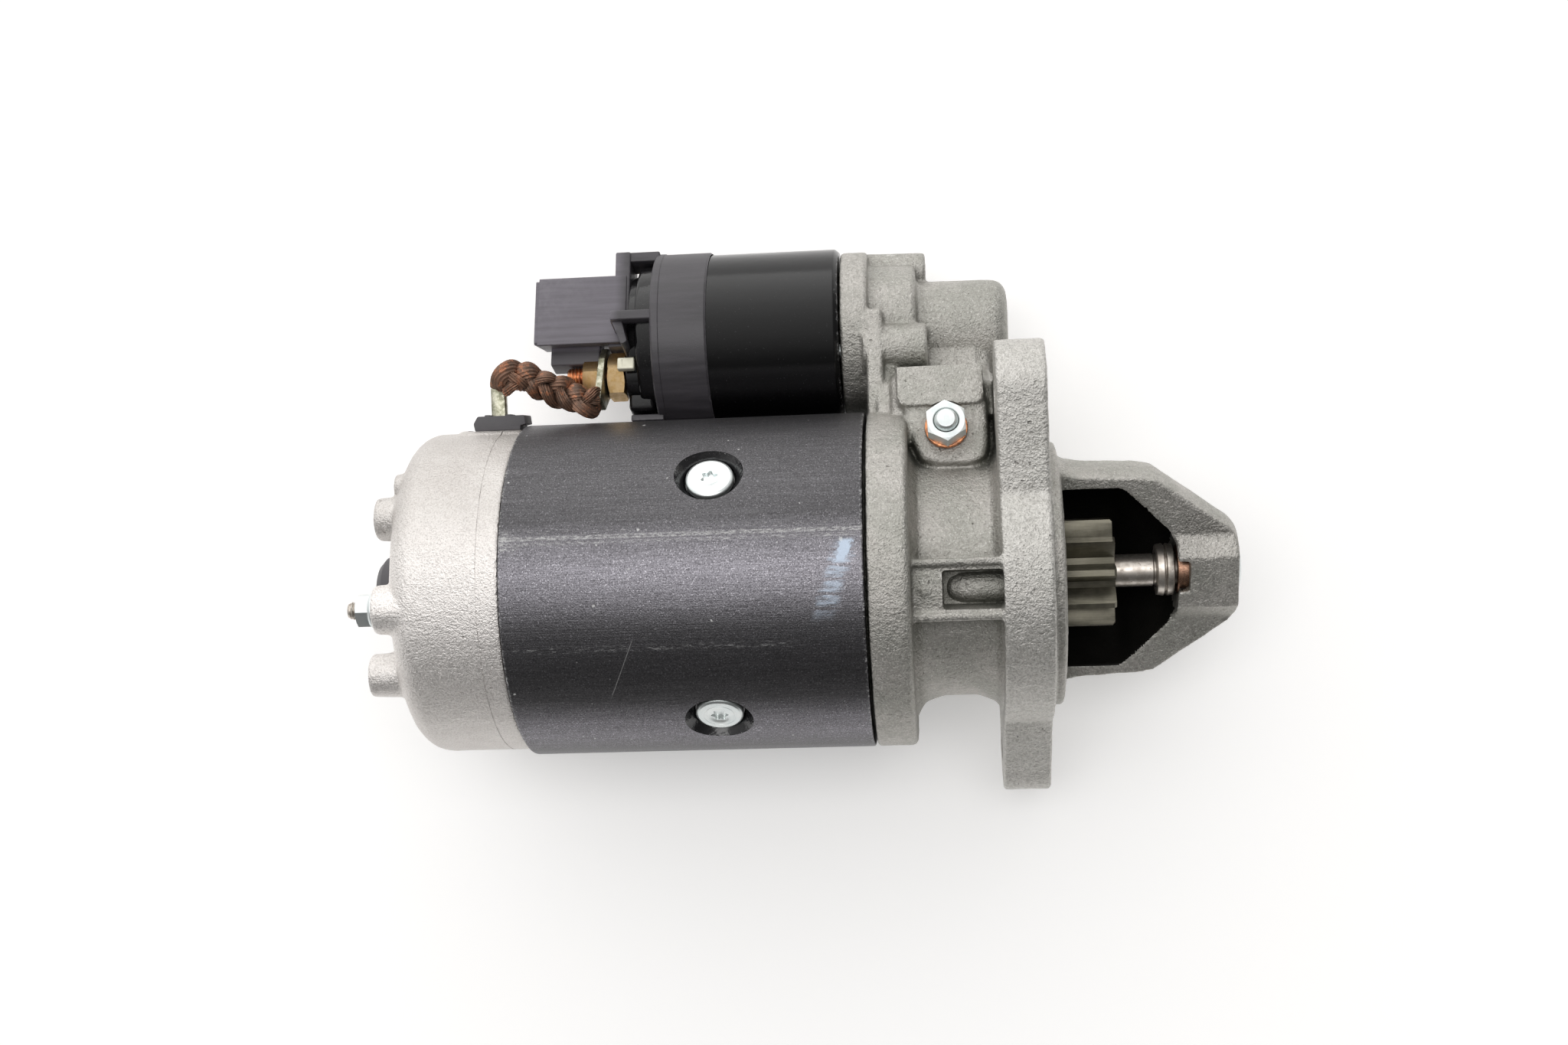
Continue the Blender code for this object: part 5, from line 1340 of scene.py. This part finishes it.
def plug_ring():
    """Clamp ring round the can with an open plug body standing out towards -X."""
    ring = lathe([(-133.1, 28.9), (-133.1, 31.6, 0.5), (-132.4, CLAMP_R, 0.3),
                  (-130.3, CLAMP_R, 0.1), (-130.1, 32.05), (-114.2, 32.05, 0.2),
                  (-113.5, 31.55), (-113.5, 31.5), (-131.4, 31.5), (-132.3, 28.9)],
                 160, SOLENOID, steps=3)
    plug = rounded([(83.5, 19.5, 0.7), (109.6, 19.5, 0.7), (109.6, 3.0, 0.7), (88.2, 3.0, 0.7)],
                   3, True)
    brace = rounded([(-146.9, 88.0), (-143.2, 88.0), (-141.0, 79.6, 1.0), (-143.2, 78.6, 1.0)],
                    3, True)
    ring = union(
        ring,
        box((-147.5, -131.9), (115.2, 119.0), (7.5, 18.2), 0.6, 3),
        box((-147.7, -142.3), (95.0, 118.9), (3.5, 19.0), 0.6, 3),
        prism(plug, -176.2, -143.4, bevel=0.5),
        box((-171.3, -153.6), (78.6, 90.6), (4.5, 13.0), 0.7, 3),
        box((-146.9, -132.55), (86.9, 90.5), (27.0, 31.6), 0.6, 3),
        box((-147.1, -143.0), (86.9, 90.5), (16.0, 30.0), 0.5, 3),
        prism(brace, 16.4, 29.4, "Z", 0.4),
        box((-150.0, -142.9), (83.0, 89.6), (3.4, 17.0), 0.5, 3),
        # a foot under the ring, on the -Y side
        box((-142.6, -131.0), (57.9, 60.2), (-8.0, 9.5), 0.5))
    mouth = rounded([(90.0, 5.2, 1.4), (107.7, 5.2, 1.4), (107.7, 17.3, 1.4), (86.4, 17.3, 1.4)],
                    5, True)
    ring = minus(ring, prism(mouth, -177.5, -149.0))
    # the mouth's rim is stepped
    rim = rounded([(88.9, 3.6, 1.2), (109.0, 3.6, 1.2), (109.0, 18.9, 1.2), (84.3, 18.9, 1.2)],
                  5, True)
    return minus(ring, minus(box((-176.6, -174.9), (82.8, 110.6), (2.2, 20.4), 0.0),
                             prism(rim, -177.5, -174.0)))


def terminal_stud(centre):
    stem = lathe([(-143.0, 0), (-143.0, 3.4), (-136.4, 4.0), (-135.9, 5.2, 0.2),
                  (-133.5, 5.2, 0.3), (-133.5, 0)], 48, centre)
    return union(stem, threads(radius=4.0, x0=-165.2, x1=-142.6, pitch=1.25, depth=0.50,
                               centre=centre, seg=48, tip=0.9))


def lead_lug():
    plate = [(60.6, 13.0, 1.5), (66.5, 7.8, 2), (71.0, 2.2, 2), (79.0, 1.6, 2), (83.4, 6.0, 1),
             (85.8, 8.6, 0.8), (84.4, 12.4, 1.5), (79.4, 16.4, 2), (70.0, 19.0, 2),
             (62.4, 21.4, 1.5)]
    lug = prism(rounded(plate, 3, True), -153.1, -150.7, bevel=0.35)
    lug = minus(lug, drill(MOTOR_STUD, -154, -149, STUD_HOLE_R, 40))
    # the plate stands a little askew on its stud
    hub = Vector((-151.6, *MOTOR_STUD))
    lug.transform(Matrix.Translation(hub) @ Matrix.Rotation(math.radians(-3.0), 4, "Y")
                  @ Matrix.Translation(-hub))
    return lug


piece("solenoid_shell", solenoid_can(), "gloss_black_steel", "solenoid_can", angle=40)
for i, screw_centre in enumerate(SCREW_CENTRES, 1):
    piece(f"flange_screw_{i}", flange_screw(screw_centre), "zinc_plated_steel",
          f"solenoid_screw_{i}")
piece("solenoid_end_cap", solenoid_cap(), "black_bakelite", "solenoid_cap", angle=35)
piece("plug_and_clamp", plug_ring(), "black_plastic", "connector_ring", angle=34)
for label, stud_centre in STUDS.items():
    piece(f"{label}_stud", terminal_stud(stud_centre), "copper", f"{label}_terminal_stud",
          angle=42)
    piece(f"{label}_nut", nut(15.0, -150.3, -144.05, stud_centre, 30, STUD_HOLE_R), "brass",
          f"{label}_terminal_nut", angle=28)
piece("clamp_nut", nut(11.5, -159.4, -153.05, MOTOR_STUD, 30, STUD_HOLE_R), "brass",
      "lead_clamp_nut", angle=28)
piece("lead_lug", lead_lug(), "tinned_copper", "braid_lug")
tab = union(box((-145.6, -139.6), (72.2, 76.6), (19.6, 22.5), 0.6, 3),
            box((-145.2, -143.6), (72.8, 76.0), (22.0, 22.6), 0.2))
piece("control_tab", tab, "cream_insulator", "switch_terminal")

# ------------------------------------------------------------------ plaited lead
# Middle of the lead from the field post to the lug: x, y, z
LEAD = [(-183.2, 63.6, 29.4), (-182.0, 66.2, 31.8), (-177.2, 67.4, 29.8), (-171.6, 66.8, 26.6),
        (-165.8, 64.0, 23.8), (-160.0, 61.6, 22.4), (-155.4, 61.4, 21.0), (-153.4, 62.8, 19.4)]
LEAD_UP = Vector((0.25, 0.35, 1.0))
PLAIT_PERIOD = 18.5


def smooth_path(points, per_span):
    """Catmull-Rom curve through the points."""
    pts = [Vector(p) for p in points]
    pts = [2 * pts[0] - pts[1]] + pts + [2 * pts[-1] - pts[-2]]
    out = []
    for i in range(1, len(pts) - 2):
        p0, p1, p2, p3 = pts[i - 1:i + 3]
        for k in range(per_span):
            t = k / per_span
            out.append(0.5 * ((2 * p1) + (p2 - p0) * t + (2 * p0 - 5 * p1 + 4 * p2 - p3) * t * t
                              + (3 * p1 - p0 - 3 * p2 + p3) * t ** 3))
    return out + [pts[-2]]


def path_frames(path, up):
    """Along a path: point, side direction, up direction, length so far."""
    up = up.normalized()
    run, out = 0.0, []
    for i, point in enumerate(path):
        ahead = (path[min(i + 1, len(path) - 1)] - path[max(i - 1, 0)]).normalized()
        up = (up - ahead * up.dot(ahead)).normalized()
        if i:
            run += (point - path[i - 1]).length
        out.append((point, ahead.cross(up), up, run))
    return out


def tube(path, section, seg, up=LEAD_UP):
    """Sweep; section(i, length so far, turn) gives the offsets sideways and up."""
    bm = bmesh.new()
    rings = []
    for i, (point, side, lift, run) in enumerate(path_frames(path, up)):
        row = []
        for k in range(seg):
            sideways, upward = section(i, run, 2 * math.pi * k / seg)
            row.append(bm.verts.new(point + side * sideways + lift * upward))
        rings.append(row)
    for first, second in zip(rings, rings[1:]):
        bridge(bm, first, second)
    bm.faces.new(rings[0][::-1])
    bm.faces.new(rings[-1])
    return to_mesh(bm)


def strand(line, k):
    """One flat strand with the lobes of its wires; k is 0, 1 or 2."""
    total = line[-1][3]
    shift = 2 * math.pi * k / 3 + 0.5
    path = []
    for point, side, up, run in line:
        ends = min(1.0, run / 5.0 + 0.5, (total - run) / 5.0 + 0.5)
        phase = 2 * math.pi * run / PLAIT_PERIOD + shift
        path.append(point + side * (2.85 * ends * math.sin(phase))
                    + up * (1.55 * ends * math.sin(2 * phase)))

    def section(i, run, turn):
        lobes = 1.0 + 0.080 * math.cos(15 * turn + run * 1.6 + k)
        ends = min(1.0, i / 9.0 + 0.55, (len(path) - 1 - i) / 9.0 + 0.55)
        return 3.30 * ends * lobes * math.cos(turn), 1.80 * ends * lobes * math.sin(turn)

    return tube(path, section, 78)


def plait():
    line = path_frames(smooth_path(LEAD, 26), LEAD_UP)
    body = union(*[strand(line, k) for k in range(3)])
    # the core keeps the strands one body where they part
    core = tube(smooth_path(LEAD, 12)[1:-1],
                lambda i, run, turn: (1.5 * math.cos(turn), 0.7 * math.sin(turn)), 12)
    return union(body, core)


piece("plaited_lead", plait(), "oxidised_copper", "braided_lead", angle=60)


# ------------------------------------------------------------------ return spring
def return_coil():
    turns, coil_r, wire_r, start, length = 4.0, 12.6, 0.78, -66.9, 20.2
    path = []
    for k in range(int(turns * 40) + 1):
        turn = 2 * math.pi * k / 40
        path.append(Vector((start + length * k / (turns * 40),
                            SOLENOID_Y + coil_r * math.cos(turn), coil_r * math.sin(turn))))
    return tube(path, lambda i, run, turn: (wire_r * math.cos(turn), wire_r * math.sin(turn)),
                14, Vector((1, 0, 0)))


spring = piece("return_coil", return_coil(), "ground_steel", "return_spring", angle=180)
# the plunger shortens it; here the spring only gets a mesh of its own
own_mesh(spring)

# ------------------------------------------------------------------ carried-over nodes
slots = {part["node"]: part["material_slot"] for part in frame["record"].get("subparts", [])}
for node_name, node_obj in frame["nodes"].items():
    node_slot = slots.get(node_name)
    if node_slot in MATERIALS:
        node_obj.data.materials.clear()
        node_obj.data.materials.append(MATERIALS[node_slot])

# ------------------------------------------------------------------ camera, in metres
RIGHT = Vector((0.99561, -0.03161, -0.08813))
UP = Vector((0.03486, 0.99877, 0.03552))
BACK = Vector((0.08689, -0.03844, 0.99548))
cam_data = bpy.data.cameras.new("photo_camera")
cam_data.lens = 42.28
cam_data.sensor_width = 36.0
cam_data.sensor_fit = "HORIZONTAL"
cam_data.clip_start = 0.01
cam_data.clip_end = 20.0
camera = bpy.data.objects.new("photo_camera", cam_data)
scene.collection.objects.link(camera)
camera.matrix_world = (Matrix.Translation((-0.0981, -0.0041, 0.6321))
                       @ Matrix((RIGHT, UP, BACK)).transposed().to_4x4())
scene.camera = camera

# ------------------------------------------------------------------ floor
bm = bmesh.new()
bmesh.ops.create_grid(bm, x_segments=8, y_segments=8, size=6.0)
floor_mesh = bpy.data.meshes.new("floor")
bm.to_mesh(floor_mesh)
bm.free()
floor = bpy.data.objects.new("floor", floor_mesh)
floor.location = (-0.1, 0.0, -0.0572)
scene.collection.objects.link(floor)
paper = bpy.data.materials.new("pale_floor")
paper.use_nodes = True
tree = paper.node_tree
bsdf = tree.nodes["Principled BSDF"]
mottle = tree.nodes.new("ShaderNodeTexNoise")
mottle.inputs["Scale"].default_value = 3.0
tone = tree.nodes.new("ShaderNodeMix")
tone.data_type = "RGBA"
tree.links.new(mottle.outputs["Fac"], tone.inputs["Factor"])
tone.inputs[6].default_value = (0.90, 0.895, 0.89, 1)
tone.inputs[7].default_value = (0.92, 0.915, 0.91, 1)
tree.links.new(tone.outputs[2], bsdf.inputs["Base Color"])
bsdf.inputs["Roughness"].default_value = 0.85
bsdf.inputs["Specular IOR Level"].default_value = 0.2
bsdf.inputs["Emission Color"].default_value = (1.0, 0.995, 0.99, 1)
bsdf.inputs["Emission Strength"].default_value = 0.30
floor_mesh.materials.append(paper)

# ------------------------------------------------------------------ lamp
LAMP_AT, LAMP_AIM = Vector((-0.15, 0.20, 1.60)), Vector((-0.13, 0.0, 0.0))
lamp_data = bpy.data.lights.new("overhead", "AREA")
lamp_data.shape = "RECTANGLE"
lamp_data.size = 1.5
lamp_data.size_y = 0.72
lamp_data.energy = 8.4
lamp_data.color = (1.0, 0.99, 0.985)
lamp = bpy.data.objects.new("overhead", lamp_data)
scene.collection.objects.link(lamp)
lamp.location = LAMP_AT
lamp.rotation_euler = (LAMP_AIM - LAMP_AT).to_track_quat("-Z", "Y").to_euler()
# the lamp is kept off the gloss-black can and its cap, which show only the room
flagged = bpy.data.collections.new("flagged_from_lamp")
for flagged_name in ("solenoid_shell", "solenoid_end_cap"):
    flagged.objects.link(bpy.data.objects[flagged_name])
lamp.light_linking.receiver_collection = flagged
for item in flagged.collection_objects:
    item.light_linking.link_state = "EXCLUDE"

# ------------------------------------------------------------------ world
# Brightness by a direction's lean: (lean from -1 to 1, value).
# Towards +Y it brightens; towards +X it darkens.
PEAK = 2.5
BY_Y = ((-1.0, 0.05), (-0.72, 0.09), (-0.50, 0.20), (-0.26, 0.46), (0.0, 0.72), (0.34, 1.0),
        (0.62, 1.4), (0.87, 2.0), (1.0, PEAK))
BY_X = ((-1.0, 1.0), (-0.35, 0.95), (0.05, 0.85), (0.35, 0.62), (0.65, 0.34), (1.0, 0.22))

world = bpy.data.worlds.new("studio")
scene.world = world
world.use_nodes = True
world_tree = world.node_tree
background = world_tree.nodes["Background"]
direction = world_tree.nodes.new("ShaderNodeTexCoord")
split_direction = world_tree.nodes.new("ShaderNodeSeparateXYZ")
world_tree.links.new(direction.outputs["Generated"], split_direction.inputs[0])


def lean_ramp(axis, stops, peak):
    """Colour ramp over one component of the direction, its values divided by the peak."""
    ramp = world_tree.nodes.new("ShaderNodeValToRGB")
    lean = world_tree.nodes.new("ShaderNodeMapRange")
    world_tree.links.new(split_direction.outputs[axis], lean.inputs["Value"])
    for key, value in (("From Min", -1.0), ("From Max", 1.0), ("To Min", 0.0), ("To Max", 1.0)):
        lean.inputs[key].default_value = value
    world_tree.links.new(lean.outputs["Result"], ramp.inputs["Fac"])
    set_stops(ramp, [((at + 1) / 2, value / peak) for at, value in stops])
    return ramp.outputs["Color"]


def world_product():
    node = world_tree.nodes.new("ShaderNodeMath")
    node.operation = "MULTIPLY"
    return node


by_y = lean_ramp("Y", BY_Y, PEAK)
scaled = world_product()
world_tree.links.new(by_y, scaled.inputs[0])
scaled.inputs[1].default_value = PEAK
by_x = lean_ramp("X", BY_X, 1.0)
both = world_product()
world_tree.links.new(scaled.outputs[0], both.inputs[0])
world_tree.links.new(by_x, both.inputs[1])
world_tree.links.new(both.outputs[0], background.inputs["Strength"])
background.inputs["Color"].default_value = (1.0, 0.995, 0.985, 1)
scene.view_settings.view_transform = "Standard"
scene.view_settings.look = "None"
